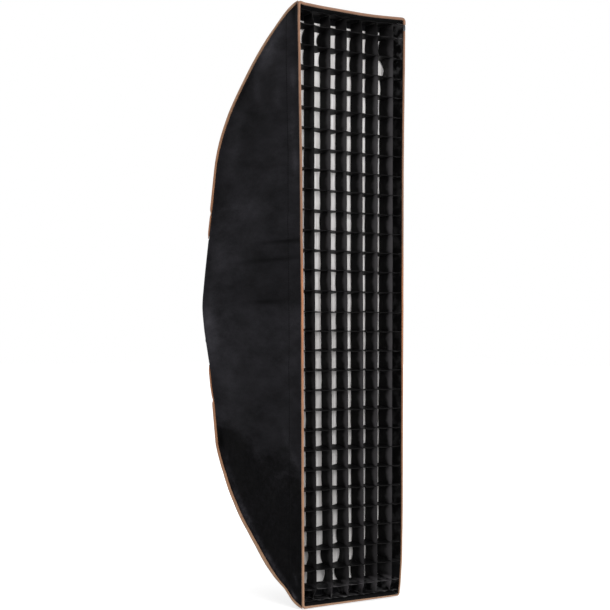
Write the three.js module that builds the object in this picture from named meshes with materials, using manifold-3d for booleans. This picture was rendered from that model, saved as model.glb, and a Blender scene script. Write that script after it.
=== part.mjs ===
// Strip softbox: a nylon light box stretched by four spring rods that fold on a turning hub,
// with a bayonet ring behind, an inner baffle, a front diffuser and an egg-crate grid.
// Millimetres. +Z runs up the long side and the open front faces -Y. The origin is the
// centre of the bayonet ring's seating face, on the axis of its bore.

import * as THREE from 'three';
import { mergeVertices } from 'three/addons/utils/BufferGeometryUtils.js';
import Module from 'manifold-3d';

const wasm = await Module();
wasm.setup();

// Clearances and facets
const clearance = 0.3;           // between pieces that touch, slide or turn in one another
const overrun = 2;               // how far a cutting tool passes the face that it cuts
const ringSides = 40;
const pinSides = 12;
const tubeSides = 8;

// Box
const openingWidth = 300;        // seam to seam across the open front
const openingHeight = 1200;
const boxDepth = 378;            // open front to the ring's seating face
const neckWidth = 152;           // between the side panels where they hug the hub
const bowEndHeight = 290;        // half height where the bowed stretch runs into the straight
const bowEndInset = 55;          // how far that point lies in front of the seating face
const bowHandleHeight = 400;     // half height of the bow's second handle, on the straight's line
const cornerHandleDepth = 150;   // the bow's first handle, behind the front corner
const cornerHandleDrop = 45;     // and this much nearer the middle
const rearOpeningHeight = 288;   // where the piped seams end above and below the hub
const collarOpeningRadius = 112; // round cut in the two rear flaps

// Cloth, piping and fastening bands
const clothThickness = 1.5;
const pipingRadius = 3.5;
const rimCornerRadius = 6;
const rimReturn = 6;             // straight end of the end rims' piping, below the corner
const bandWidth = 46;
const bandThickness = 1.2;

// Egg-crate grid
const gridColumns = 7;
const gridRows = 30;
const gridRecess = 1;            // behind the open front
const gridDepth = 30;
const gridStripThickness = 1.2;
const gridEndCellWidth = 33.75;  // from a long seam to the nearest upright strip
const gridEndCellHeight = 45.6;  // from a short seam to the nearest cross strip

// Front diffuser and inner baffle
const diffuserGap = 2;           // behind the grid
const diffuserThickness = 1.2;
const diffuserSideBorder = 15;
const diffuserEndBorder = 30;
const baffleRecess = 190;        // behind the open front
const baffleThickness = 1.2;
const baffleSideGap = 18;
const baffleEndGap = 43;
const strapWidth = 12;
const strapThickness = 1;
const strapInset = 16;           // from the baffle's side edge to the strap's edge

// Bayonet ring
const boreRadius = 49;
const neckWall = 4.2;
const neckLength = 20;
const flangeRadius = 73;
const flangeThickness = 3;
const lugCount = 3;
const lugSpan = 34 * Math.PI / 180;
const lugInnerRadius = 57;
const lugOuterRadius = 66;
const lugLegThickness = 4;
const lugHookThickness = 3;
const lugHeight = 10;
const lugFacets = 5;
const retainerThickness = 3.5;
const retainerWidth = 5;

// Hub casting
const hubThickness = 10;
const hubBarTop = 80;            // half height of the bars that carry the arms
const hubBarCorner = 8;
const hubRimWidth = 7;
const hubInnerLip = 6;
const hubRecesses = 8;
const hubRecessDepth = 5;        // cast recesses between the rim and the bore
const hubRibAngle = 10 * Math.PI / 180;

// Arm hinges
const pivotHeight = 66;
const armHalfSpacing = 58;
const heelRadius = 8.5;
const socketWidth = 10;
const earThickness = 4;
const earEmbed = 2;              // how deep an ear's foot runs into the hub
const forkLength = 26;
const forkEndHalfWidth = 7;
const sleeveStart = 21;          // clear of the ear that carries the release pin
const sleeveRadius = 6.5;
const sleeveLength = 62;
const sleeveBeadRadius = 7.6;
const sleeveBeadLength = 5;
const pinRadius = 3;
const pinHeadRadius = 5;
const pinHeadThickness = 2;
const pinTail = 1.5;             // how far the pin stands out of the inner ear

// Spring rods and their caps and pockets
const rodRadius = 3;
const rodStart = 26;             // from the pivot, along the arm
const tipStart = 54;             // rod's front end, along the seam from the front corner
const capRadius = 5;
const capLength = 22;
const capEndThickness = 3;
const pocketRadius = 7.5;
const pocketLength = 30;
const pocketEndThickness = 2;
const pocketSlack = 0.5;         // between the straight pocket and the bowed wall

// Spring-loaded release pins
const lockDistance = 13.5;       // from the pivot, along the arm
const lockEarRadius = 6.5;
const noseRadius = 2;
const noseLength = 6.6;
const noseClearance = 0.4;
const collarRadius = 3.6;
const collarWidth = 1.5;
const bossRadius = 5.8;
const bossLength = 20.7;
const bossEndWall = 2.3;
const pullRadius = 6.5;
const pullWaistRadius = 4.6;
const pullLength = 11;
const springWireRadius = 0.4;
const springCurls = 5;
const springCurlSteps = 8;
const springWireSides = 5;

// Clamp knob
const knobScrewRadius = 2.7;
const knobRadius = 10;
const knobLobeDepth = 1.4;
const knobLobes = 6;
const knobHeight = 12;
const knobBevel = 1.2;

// Finishes
function finish(color, roughness, metalness) {
  return new THREE.MeshStandardMaterial({ color, roughness, metalness, side: THREE.FrontSide });
}
const blackNylon = finish('#17171a', 0.62, 0);
const gridNylon = finish('#1c1b1d', 0.7, 0);
const copperPiping = finish('#b5835f', 0.7, 0);
const whiteDiffusion = finish('#e2dfdd', 0.85, 0);
const loopBand = finish('#131314', 0.95, 0);
const blackElastic = finish('#202022', 0.9, 0);
const castAluminium = finish('#202124', 0.45, 0.6);
const bareAluminium = finish('#b9babd', 0.32, 1);
const springSteel = finish('#6d7075', 0.3, 1);
const blackPlastic = finish('#1b1b1c', 0.5, 0);

// Solids and booleans
function plain(geometry) {
  const copy = geometry.clone();
  copy.deleteAttribute('normal');
  copy.deleteAttribute('uv');
  const merged = mergeVertices(copy);
  const index = merged.index.array;
  const faces = [];
  for (let i = 0; i < index.length; i += 3) {
    const [a, b, c] = index.slice(i, i + 3);
    if (a !== b && b !== c && c !== a) faces.push(a, b, c);
  }
  return merged.setIndex(faces);
}

function solid(geometry) {
  const { attributes, index } = plain(geometry);
  const vertProperties = new Float32Array(attributes.position.array);
  const triVerts = new Uint32Array(index.array);
  return new wasm.Manifold(new wasm.Mesh({ numProp: 3, vertProperties, triVerts }));
}

function geometryOf(manifold) {
  const { vertProperties, triVerts } = manifold.getMesh();
  const geometry = new THREE.BufferGeometry();
  geometry.setAttribute('position', new THREE.BufferAttribute(vertProperties, 3));
  geometry.setIndex(new THREE.BufferAttribute(triVerts, 1));
  geometry.computeVertexNormals();
  return geometry;
}

function joined(...geometries) {
  return geometryOf(geometries.map(solid).reduce((sum, next) => sum.add(next)));
}

function cut(geometry, ...tools) {
  return geometryOf(tools.map(solid).reduce((rest, tool) => rest.subtract(tool), solid(geometry)));
}

function kept(geometry, mould) {
  return geometryOf(solid(geometry).intersect(solid(mould)));
}

// Mirrors a piece to another corner, with its faces still pointing out
function mirrored(geometry, signX, signZ) {
  const copy = plain(geometry).scale(signX, 1, signZ);
  if (signX * signZ < 0) {
    const index = copy.index.array;
    for (let i = 0; i < index.length; i += 3) {
      [index[i + 1], index[i + 2]] = [index[i + 2], index[i + 1]];
    }
  }
  copy.computeVertexNormals();
  return copy;
}

// Outline in (x, z), made solid from one y to another
function slabAcrossY(shape, lowY, highY, curveSegments = pinSides) {
  const options = { depth: highY - lowY, bevelEnabled: false, curveSegments };
  const turn = new THREE.Matrix4().makeBasis(
    new THREE.Vector3(1, 0, 0), new THREE.Vector3(0, 0, 1), new THREE.Vector3(0, -1, 0));
  return new THREE.ExtrudeGeometry(shape, options).applyMatrix4(turn).translate(0, highY, 0);
}

// Outline in (y, z), made solid from one x to another
function slabAcrossX(shape, lowX, highX, curveSegments = pinSides) {
  const options = { depth: highX - lowX, bevelEnabled: false, curveSegments };
  const turn = new THREE.Matrix4().makeBasis(
    new THREE.Vector3(0, 1, 0), new THREE.Vector3(0, 0, 1), new THREE.Vector3(1, 0, 0));
  return new THREE.ExtrudeGeometry(shape, options).applyMatrix4(turn).translate(lowX, 0, 0);
}

function rodAcrossX(radius, lowX, highX, y, z, sides = pinSides) {
  return new THREE.CylinderGeometry(radius, radius, highX - lowX, sides)
    .rotateZ(Math.PI / 2).translate((lowX + highX) / 2, y, z);
}

function disc(radius, lowY, highY, sides = ringSides) {
  return new THREE.CylinderGeometry(radius, radius, highY - lowY, sides)
    .translate(0, (lowY + highY) / 2, 0);
}

// A turned piece about Y, from corners in (radius, y) listed anticlockwise
function turned(corners, sides = ringSides) {
  const outline = corners.map(([r, y]) => new THREE.Vector2(r, y));
  if (outline[0].x > 0) outline.push(outline[0].clone());
  return new THREE.LatheGeometry(outline, sides);
}

// A path whose steps fall on its own points
class PointPath extends THREE.Curve {
  constructor(points) {
    super();
    this.points = points;
  }

  getPoint(t, target = new THREE.Vector3()) {
    const place = t * (this.points.length - 1);
    const i = Math.min(Math.floor(place), this.points.length - 2);
    return target.lerpVectors(this.points[i], this.points[i + 1], place - i);
  }

  getPointAt(t, target) {
    return this.getPoint(t, target);
  }

  getTangentAt(t, target = new THREE.Vector3()) {
    const last = this.points.length - 1;
    const i = Math.round(t * last);
    return target.subVectors(this.points[Math.min(i + 1, last)], this.points[Math.max(i - 1, 0)])
      .normalize();
  }
}

function tubeAlong(points, radius, sides = tubeSides) {
  const section = new THREE.Shape();
  section.absarc(0, 0, radius, 0, 2 * Math.PI);
  const extrudePath = new PointPath(points);
  const options = { steps: points.length - 1, extrudePath, bevelEnabled: false, curveSegments: sides / 2 };
  return new THREE.ExtrudeGeometry(section, options);
}

// Moves a piece made along +Y so that it starts at one point and runs along a direction
function laidAlong(geometry, start, direction) {
  const turn = new THREE.Quaternion().setFromUnitVectors(new THREE.Vector3(0, 1, 0), direction);
  return geometry.applyQuaternion(turn).translate(start.x, start.y, start.z);
}

// The side seam in (y, z): a bow behind the front corner, then straight to the middle of the ring
const frontY = -boxDepth;
const neckSlope = bowEndInset / bowEndHeight;
const cornerPoint = new THREE.Vector2(frontY, openingHeight / 2);
const bow = new THREE.CubicBezierCurve(
  cornerPoint,
  new THREE.Vector2(frontY + cornerHandleDepth, openingHeight / 2 - cornerHandleDrop),
  new THREE.Vector2(-neckSlope * bowHandleHeight, bowHandleHeight),
  new THREE.Vector2(-bowEndInset, bowEndHeight));
const seam = new THREE.CurvePath();
seam.add(bow);
seam.add(new THREE.LineCurve(bow.v3, new THREE.Vector2(0, 0)));
const seamLength = seam.getLength();

// A point at a length along the seam from the front corner, moved inwards by an inset
function seamPoint(length, inset = 0) {
  const share = length / seamLength;
  const point = seam.getPointAt(share);
  const along = seam.getTangentAt(share);
  return new THREE.Vector2(point.x + along.y * inset, point.y - along.x * inset);
}

function lengthsBetween(from, to, steps) {
  return Array.from({ length: steps + 1 }, (_, i) => from + (to - from) * i / steps);
}

function seamRun(lengths, inset = 0) {
  return lengths.map((length) => seamPoint(length, inset));
}

// Length along the seam at which its inset copy passes a given value of y
function lengthAtY(y, inset = 0) {
  let low = 0;
  let high = seamLength;
  for (let i = 0; i < 40; i += 1) {
    const middle = (low + high) / 2;
    if (seamPoint(middle, inset).x < y) low = middle;
    else high = middle;
  }
  return (low + high) / 2;
}

// Length along the seam at a half height that lies on its straight stretch
function lengthAtHeight(height) {
  return seamLength - Math.hypot(height, neckSlope * height);
}

const rearOpeningLength = lengthAtHeight(rearOpeningHeight / 2);

// The side panels are flat and lean in from the front seams to the neck
const sideSlant = Math.atan2((openingWidth - neckWidth) / 2, boxDepth);
const sideLean = 1 / Math.cos(sideSlant);

function halfWidthAt(y) {
  return openingWidth / 2 - (y - frontY) * Math.tan(sideSlant);
}

// Outline in (distance along the side wall, z), made solid as a layer of the left side wall
function leftWallLayer(outline, inset, thickness) {
  const along = new THREE.Vector3(Math.sin(sideSlant), Math.cos(sideSlant), 0);
  const inwards = new THREE.Vector3(Math.cos(sideSlant), -Math.sin(sideSlant), 0);
  const turn = new THREE.Matrix4().makeBasis(along, new THREE.Vector3(0, 0, 1), inwards);
  const start = new THREE.Vector3(-openingWidth / 2, frontY, 0).addScaledVector(inwards, inset);
  const options = { depth: thickness, bevelEnabled: false };
  return new THREE.ExtrudeGeometry(new THREE.Shape(outline), options)
    .applyMatrix4(turn).translate(start.x, start.y, start.z);
}

function alongWall(point) {
  return new THREE.Vector2((point.x - frontY) * sideLean, point.y);
}

function withLowerHalf(upper) {
  return [...upper, ...upper.map((p) => new THREE.Vector2(p.x, -p.y)).reverse()];
}

// A layer of the upper end wall through lengths along the seam, trimmed to the side walls
function upperWallLayer(lengths, inset, thickness, sideInset) {
  const outline = new THREE.Shape([
    ...seamRun(lengths, inset), ...seamRun(lengths, inset + thickness).reverse()]);
  const sheet = slabAcrossX(outline, -openingWidth / 2, openingWidth / 2);
  const halfFront = halfWidthAt(frontY - overrun) - sideInset * sideLean;
  const halfBack = halfWidthAt(overrun) - sideInset * sideLean;
  const plan = new THREE.Shape([
    new THREE.Vector2(-halfFront, frontY - overrun), new THREE.Vector2(halfFront, frontY - overrun),
    new THREE.Vector2(halfBack, overrun), new THREE.Vector2(-halfBack, overrun)]);
  const mould = new THREE.ExtrudeGeometry(plan, { depth: openingHeight, bevelEnabled: false });
  return kept(sheet, mould);
}

// Cloth panels
const halfCloth = clothThickness / 2;
const pipedEdge = pipingRadius + clearance;
const bowSteps = 24;
const bowLengths = lengthsBetween(2 * pipedEdge, rearOpeningLength, bowSteps);

function leftPanel() {
  const piped = seamRun(bowLengths, pipedEdge).map(alongWall);
  const front = new THREE.Vector2(pipedEdge, piped[0].y);
  const hem = [
    seamPoint(rearOpeningLength + clearance, pipedEdge), seamPoint(rearOpeningLength + pipedEdge),
    seamPoint(seamLength)].map(alongWall);
  const upper = [front, ...piped, ...hem];
  const lower = upper.slice(0, -1).map((p) => new THREE.Vector2(p.x, -p.y)).reverse();
  return leftWallLayer([...upper, ...lower], -halfCloth, clothThickness);
}

function upperPanel() {
  return upperWallLayer([pipedEdge, ...bowLengths], -halfCloth, clothThickness, pipedEdge);
}

function upperFlap() {
  const from = rearOpeningLength + clearance;
  const to = lengthAtHeight(collarOpeningRadius / 2);
  const sheet = upperWallLayer([from, to], -halfCloth, clothThickness, halfCloth + clearance);
  return cut(sheet, disc(collarOpeningRadius, frontY, overrun));
}

// Piping on the seams and around the open front
const rimArcSteps = 5;

function upperRightSeamPiping() {
  return tubeAlong(seamRun(bowLengths).map((p) => new THREE.Vector3(halfWidthAt(p.x), p.x, p.y)), pipingRadius);
}

function upperRimPiping() {
  const centreX = openingWidth / 2 - rimCornerRadius;
  const centreZ = openingHeight / 2 - rimCornerRadius;
  const right = Array.from({ length: rimArcSteps + 1 }, (_, i) => {
    const angle = (i / rimArcSteps) * Math.PI / 2;
    return new THREE.Vector3(
      centreX + rimCornerRadius * Math.cos(angle), frontY,
      centreZ + rimCornerRadius * Math.sin(angle));
  });
  right.unshift(new THREE.Vector3(openingWidth / 2, frontY, centreZ - rimReturn));
  const left = right.map((p) => new THREE.Vector3(-p.x, p.y, p.z)).reverse();
  return tubeAlong([...right, ...left], pipingRadius);
}

function rightRimPiping() {
  const halfLength = openingHeight / 2 - rimCornerRadius - rimReturn - clearance;
  return new THREE.CylinderGeometry(pipingRadius, pipingRadius, 2 * halfLength, tubeSides)
    .rotateX(Math.PI / 2).translate(openingWidth / 2, frontY, 0);
}

// Fastening bands sewn inside the open front, and what is pressed onto them
const bandInset = halfCloth + clearance;
const wallStack = bandInset + bandThickness + clearance;
const bandBackY = frontY + bandWidth / sideLean;
const bandSteps = 4;

function leftBand() {
  const lengths = lengthsBetween(2 * pipedEdge, lengthAtY(bandBackY, pipedEdge), bandSteps);
  const upper = seamRun(lengths, pipedEdge).map(alongWall);
  const front = new THREE.Vector2(pipedEdge, upper[0].y);
  return leftWallLayer(withLowerHalf([front, ...upper]), bandInset, bandThickness);
}

function upperBand() {
  const lengths = lengthsBetween(pipedEdge, lengthAtY(bandBackY, bandInset), bandSteps);
  return upperWallLayer(lengths, bandInset, bandThickness, pipedEdge);
}

function heightInside(y, inset) {
  return seamPoint(lengthAtY(y, inset), inset).y;
}

function widthInside(y, inset) {
  return halfWidthAt(y) - inset * sideLean;
}

function rectangle(halfWidth, halfHeight) {
  return [[-1, -1], [1, -1], [1, 1], [-1, 1]].map(([signX, signZ]) => (
    new THREE.Vector2(signX * halfWidth, signZ * halfHeight)));
}

const gridFrontY = frontY + gridRecess;
const gridBackY = gridFrontY + gridDepth;
const diffuserFrontY = gridBackY + diffuserGap;
const diffuserBackY = diffuserFrontY + diffuserThickness;

// Middles of the strips across one direction of the grid, its two border strips included
function stripPlaces(opening, cells, endCell, halfOuter) {
  const pitch = (opening - 2 * endCell) / (cells - 2);
  const inner = Array.from({ length: cells - 1 }, (_, i) => endCell - opening / 2 + i * pitch);
  const border = halfOuter - gridStripThickness / 2;
  return [-border, ...inner, border];
}

function eggCrateGrid() {
  const halfWidth = widthInside(gridBackY, wallStack);
  const halfHeight = heightInside(gridBackY, wallStack);
  const uprights = stripPlaces(openingWidth, gridColumns, gridEndCellWidth, halfWidth);
  const crossings = stripPlaces(openingHeight, gridRows, gridEndCellHeight, halfHeight);
  const cells = [];
  const halfStrip = gridStripThickness / 2;
  for (let column = 0; column < gridColumns; column += 1) {
    for (let row = 0; row < gridRows; row += 1) {
      const left = uprights[column] + halfStrip;
      const right = uprights[column + 1] - halfStrip;
      const low = crossings[row] + halfStrip;
      const high = crossings[row + 1] - halfStrip;
      const cell = new THREE.BoxGeometry(right - left, gridDepth + 2 * overrun, high - low);
      cells.push(cell.translate((left + right) / 2, (gridFrontY + gridBackY) / 2, (low + high) / 2));
    }
  }
  return cut(slabAcrossY(new THREE.Shape(rectangle(halfWidth, halfHeight)), gridFrontY, gridBackY), ...cells);
}

const borderHalfWidth = widthInside(diffuserBackY, wallStack);
const borderHalfHeight = heightInside(diffuserBackY, wallStack);
const sheetHalfWidth = borderHalfWidth - diffuserSideBorder;
const sheetHalfHeight = borderHalfHeight - diffuserEndBorder;

function diffuserBorder() {
  const frame = new THREE.Shape(rectangle(borderHalfWidth, borderHalfHeight));
  frame.holes.push(new THREE.Path(rectangle(sheetHalfWidth, sheetHalfHeight)));
  return slabAcrossY(frame, diffuserFrontY, diffuserBackY);
}

function frontDiffuser() {
  const sheet = new THREE.Shape(rectangle(sheetHalfWidth - clearance, sheetHalfHeight - clearance));
  return slabAcrossY(sheet, diffuserFrontY, diffuserBackY);
}

// Inner baffle, hung from the end walls on four elastic straps
const baffleFrontY = frontY + baffleRecess;
const baffleHalfWidth = widthInside(baffleFrontY, baffleSideGap);
const baffleHalfHeight = heightInside(baffleFrontY, 0) - baffleEndGap;

function innerBaffle() {
  const sheet = new THREE.Shape(rectangle(baffleHalfWidth, baffleHalfHeight));
  return slabAcrossY(sheet, baffleFrontY, baffleFrontY + baffleThickness);
}

function upperRightStrap() {
  const backY = baffleFrontY + strapThickness;
  const low = baffleHalfHeight + clearance;
  const high = heightInside(backY, bandInset);
  const right = baffleHalfWidth - strapInset;
  const strap = new THREE.Shape([
    new THREE.Vector2(right - strapWidth, low), new THREE.Vector2(right, low),
    new THREE.Vector2(right, high), new THREE.Vector2(right - strapWidth, high)]);
  return slabAcrossY(strap, baffleFrontY, backY);
}

// Bayonet ring: seating flange, neck that the hub turns on, and hooked lugs
const neckRadius = boreRadius + neckWall;
const hubBackY = -flangeThickness - clearance;
const hubFrontY = hubBackY - hubThickness;
const hubMiddleY = (hubBackY + hubFrontY) / 2;

function arcBand(innerRadius, outerRadius, middleAngle, span) {
  const shape = new THREE.Shape();
  const from = middleAngle - span / 2;
  const to = middleAngle + span / 2;
  shape.absarc(0, 0, outerRadius, from, to, false);
  shape.absarc(0, 0, innerRadius, to, from, true);
  return shape;
}

function bayonetRing() {
  const ring = turned([
    [boreRadius, -neckLength], [neckRadius, -neckLength], [neckRadius, -flangeThickness],
    [flangeRadius, -flangeThickness], [flangeRadius, 0], [boreRadius, 0]]);
  const lugs = [];
  for (let i = 0; i < lugCount; i += 1) {
    const angle = Math.PI / 2 + i * 2 * Math.PI / lugCount;
    const leg = arcBand(lugInnerRadius, lugInnerRadius + lugLegThickness, angle, lugSpan);
    const hook = arcBand(lugInnerRadius, lugOuterRadius, angle, lugSpan);
    lugs.push(slabAcrossY(leg, -flangeThickness / 2, lugHeight - lugHookThickness / 2, lugFacets));
    lugs.push(slabAcrossY(hook, lugHeight - lugHookThickness, lugHeight, lugFacets));
  }
  return joined(ring, ...lugs);
}

function retainingRing() {
  const back = hubFrontY - clearance;
  const inner = neckRadius + clearance;
  const outer = inner + retainerWidth;
  return turned([
    [inner, back - retainerThickness], [outer, back - retainerThickness], [outer, back], [inner, back]]);
}

// Arms: each rod follows the seams from its hinge on the hub to its pocket at the front corner
const rodInset = wallStack + pocketSlack + pocketRadius;
const neckAngle = Math.atan(neckSlope);
const armRise = Math.cos(neckAngle);
const armForward = Math.sin(neckAngle);
const pivotY = -neckSlope * pivotHeight - rodInset / armRise;
const pivotLength = lengthAtHeight(pivotHeight + rodInset * armForward);
const tip = seamPoint(tipStart, rodInset);
const tipHalfSpacing = widthInside(tip.x, rodInset);

function rodPoint(length) {
  const point = seamPoint(length, rodInset);
  const share = (pivotY - point.x) / (pivotY - tip.x);
  const x = armHalfSpacing + (tipHalfSpacing - armHalfSpacing) * share;
  return new THREE.Vector3(x, point.x, point.y);
}

const rodSteps = 20;
const pivot = new THREE.Vector3(armHalfSpacing, pivotY, pivotHeight);
const armDirection = rodPoint(pivotLength - sleeveLength).sub(pivot).normalize();
const rodBack = pivot.clone().addScaledVector(armDirection, rodStart);
const rodBackLength = pivotLength - rodStart;
const rodPoints = Array.from({ length: rodSteps + 1 }, (_, i) => (
  rodPoint(tipStart + (rodBackLength - tipStart) * i / rodSteps)));
rodPoints[rodSteps].copy(rodBack);
const tipDirection = rodPoints[1].clone().sub(rodPoints[0]).normalize();
const lockY = pivotY - armForward * lockDistance;
const lockZ = pivotHeight + armRise * lockDistance;

const socketInner = armHalfSpacing - socketWidth / 2;
const socketOuter = armHalfSpacing + socketWidth / 2;
const innerEar = socketInner - clearance - earThickness;
const outerEar = socketOuter + clearance;
const pinHole = pinRadius + clearance;

function springRod() {
  return tubeAlong(rodPoints, rodRadius);
}

// Flat-sided fork with a round heel, drawn into a sleeve that holds the rod
function armSocket() {
  const fork = new THREE.Shape();
  fork.moveTo(-forkEndHalfWidth, forkLength);
  fork.lineTo(-heelRadius, 0);
  fork.absarc(0, 0, heelRadius, Math.PI, 2 * Math.PI, false);
  fork.lineTo(forkEndHalfWidth, forkLength);
  const options = { depth: socketWidth, bevelEnabled: false, curveSegments: pinSides / 2 };
  const turn = new THREE.Matrix4().makeBasis(
    new THREE.Vector3(0, armRise, armForward), new THREE.Vector3(0, -armForward, armRise),
    new THREE.Vector3(1, 0, 0));
  const flat = new THREE.ExtrudeGeometry(fork, options)
    .applyMatrix4(turn).translate(socketInner, pivotY, pivotHeight);
  const sleeve = laidAlong(turned([
    [0, sleeveStart], [sleeveRadius, sleeveStart],
    [sleeveRadius, sleeveLength - sleeveBeadLength], [sleeveBeadRadius, sleeveLength - sleeveBeadLength],
    [sleeveBeadRadius, sleeveLength], [0, sleeveLength]], pinSides), pivot, armDirection);
  const bore = laidAlong(turned([
    [0, rodStart - clearance], [rodRadius + clearance, rodStart - clearance],
    [rodRadius + clearance, sleeveLength + overrun], [0, sleeveLength + overrun]], pinSides),
  pivot, armDirection);
  const eye = rodAcrossX(pinHole, socketInner - overrun, socketOuter + overrun, pivotY, pivotHeight);
  const dimple = rodAcrossX(
    noseRadius + clearance, socketInner - overrun, socketInner + noseClearance + noseRadius, lockY, lockZ);
  return cut(joined(flat, sleeve), bore, eye, dimple);
}

function pivotPin() {
  const body = rodAcrossX(
    pinRadius, innerEar - pinTail, outerEar + earThickness + clearance + pinHeadThickness,
    pivotY, pivotHeight);
  const head = rodAcrossX(
    pinHeadRadius, outerEar + earThickness + clearance,
    outerEar + earThickness + clearance + pinHeadThickness, pivotY, pivotHeight);
  return joined(body, head);
}

function rodCap() {
  const mouth = capLength - capEndThickness;
  const boreCap = rodRadius + clearance;
  return laidAlong(turned([
    [0, -clearance - capEndThickness], [capRadius, -clearance - capEndThickness], [capRadius, mouth],
    [boreCap, mouth], [boreCap, -clearance], [0, -clearance]], pinSides),
  rodPoints[0], tipDirection);
}

function cornerPocket() {
  const floor = -2 * clearance - capEndThickness;
  const mouth = floor + pocketLength;
  const borePocket = capRadius + clearance;
  return laidAlong(turned([
    [0, floor - pocketEndThickness], [pocketRadius, floor - pocketEndThickness], [pocketRadius, mouth],
    [borePocket, mouth], [borePocket, floor], [0, floor]], pinSides),
  rodPoints[0], tipDirection);
}

// Hub casting: ring with cast recesses, two bars, and an ear either side of each arm
const hubBoreRadius = neckRadius + clearance;
const hubRadius = halfWidthAt(hubBackY) - (halfCloth + clearance) * sideLean;
const hubBarHalf = outerEar + earThickness;

function roundedRectangle(halfWidth, halfHeight, radius) {
  const shape = new THREE.Shape();
  const x = halfWidth - radius;
  const z = halfHeight - radius;
  shape.absarc(x, z, radius, 0, Math.PI / 2, false);
  shape.absarc(-x, z, radius, Math.PI / 2, Math.PI, false);
  shape.absarc(-x, -z, radius, Math.PI, 3 * Math.PI / 2, false);
  shape.absarc(x, -z, radius, 3 * Math.PI / 2, 2 * Math.PI, false);
  return shape;
}

// Side view of an ear: foot on the hub, round about the pivot, and taller where a pin locks
function earOutline(locks) {
  const foot = hubFrontY + earEmbed;
  const shape = new THREE.Shape();
  shape.moveTo(foot, pivotHeight - heelRadius);
  shape.absarc(pivotY, pivotHeight, heelRadius, 3 * Math.PI / 2, Math.PI, true);
  if (locks) shape.absarc(lockY, lockZ, lockEarRadius, Math.PI, Math.PI / 2, true);
  else shape.absarc(pivotY, pivotHeight, heelRadius, Math.PI, Math.PI / 2, true);
  shape.lineTo(foot, locks ? hubBarTop - earEmbed : pivotHeight + heelRadius);
  return shape;
}

function hubPlate() {
  const plate = slabAcrossY(
    roundedRectangle(hubBarHalf, hubBarTop, hubBarCorner), hubFrontY, hubBackY, pinSides / 4);
  const bodies = [solid(plate), solid(disc(hubRadius, hubFrontY, hubBackY))];
  const holes = [solid(disc(hubBoreRadius, hubFrontY - overrun, hubBackY + overrun))];
  const ear = slabAcrossX(earOutline(false), outerEar, outerEar + earThickness, pinSides / 2);
  const lockEar = slabAcrossX(earOutline(true), innerEar, innerEar + earThickness, pinSides / 2);
  const boss = rodAcrossX(bossRadius, innerEar - bossLength, innerEar + overrun, lockY, lockZ);
  const springBore = rodAcrossX(
    collarRadius + clearance, innerEar - bossLength + bossEndWall, socketInner + overrun, lockY, lockZ);
  const endHole = rodAcrossX(
    noseRadius + clearance, innerEar - bossLength - overrun, innerEar, lockY, lockZ);
  for (const signZ of [1, -1]) {
    const reach = hubBarHalf + overrun;
    const eye = rodAcrossX(pinHole, -reach, reach, pivotY, pivotHeight);
    holes.push(solid(mirrored(eye, 1, signZ)));
    for (const signX of [1, -1]) {
      for (const piece of [ear, lockEar, boss]) bodies.push(solid(mirrored(piece, signX, signZ)));
      for (const hole of [springBore, endHole]) holes.push(solid(mirrored(hole, signX, signZ)));
    }
  }
  for (let i = 0; i < hubRecesses; i += 1) {
    const angle = (i + 1 / 2) * 2 * Math.PI / hubRecesses;
    const recess = arcBand(
      hubBoreRadius + hubInnerLip, hubRadius - hubRimWidth, angle, 2 * Math.PI / hubRecesses - hubRibAngle);
    holes.push(solid(slabAcrossY(recess, hubFrontY - overrun, hubFrontY + hubRecessDepth, lugFacets)));
  }
  const screwHole = new THREE.CylinderGeometry(
    knobScrewRadius + clearance, knobScrewRadius + clearance, hubBarTop, pinSides)
    .rotateX(Math.PI / 2).translate(0, hubMiddleY, hubBarTop / 2 + hubBoreRadius / 2);
  holes.push(solid(screwHole));
  const sum = bodies.reduce((whole, next) => whole.add(next));
  return geometryOf(holes.reduce((rest, hole) => rest.subtract(hole), sum));
}

// Release pin: nose, spring collar and shank, with a waisted pull
function releasePin() {
  const pullEnd = innerEar - bossLength - clearance - pullLength;
  const nose = socketInner - noseClearance - pullEnd;
  const collarTop = nose - noseLength;
  const collarBottom = collarTop - collarWidth;
  const rim = pullLength / 4;
  return laidAlong(turned([
    [0, 0], [pullRadius, 0], [pullRadius, rim], [pullWaistRadius, pullLength / 2],
    [pullRadius, pullLength - rim], [pullRadius, pullLength], [noseRadius, pullLength],
    [noseRadius, collarBottom], [collarRadius, collarBottom], [collarRadius, collarTop],
    [noseRadius, collarTop], [noseRadius, nose], [0, nose]], pinSides),
  new THREE.Vector3(pullEnd, lockY, lockZ), new THREE.Vector3(1, 0, 0));
}

function releaseSpringPoints() {
  const low = innerEar - bossLength + bossEndWall + clearance + springWireRadius;
  const collarBottom = socketInner - noseClearance - noseLength - collarWidth;
  const high = collarBottom - clearance - springWireRadius;
  const coilRadius = (collarRadius + noseRadius) / 2 + springWireRadius / 2;
  const steps = springCurls * springCurlSteps;
  return Array.from({ length: steps + 1 }, (_, i) => {
    const angle = 2 * Math.PI * i / springCurlSteps;
    return new THREE.Vector3(
      low + (high - low) * i / steps,
      lockY + coilRadius * Math.cos(angle), lockZ + coilRadius * Math.sin(angle));
  });
}

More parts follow.
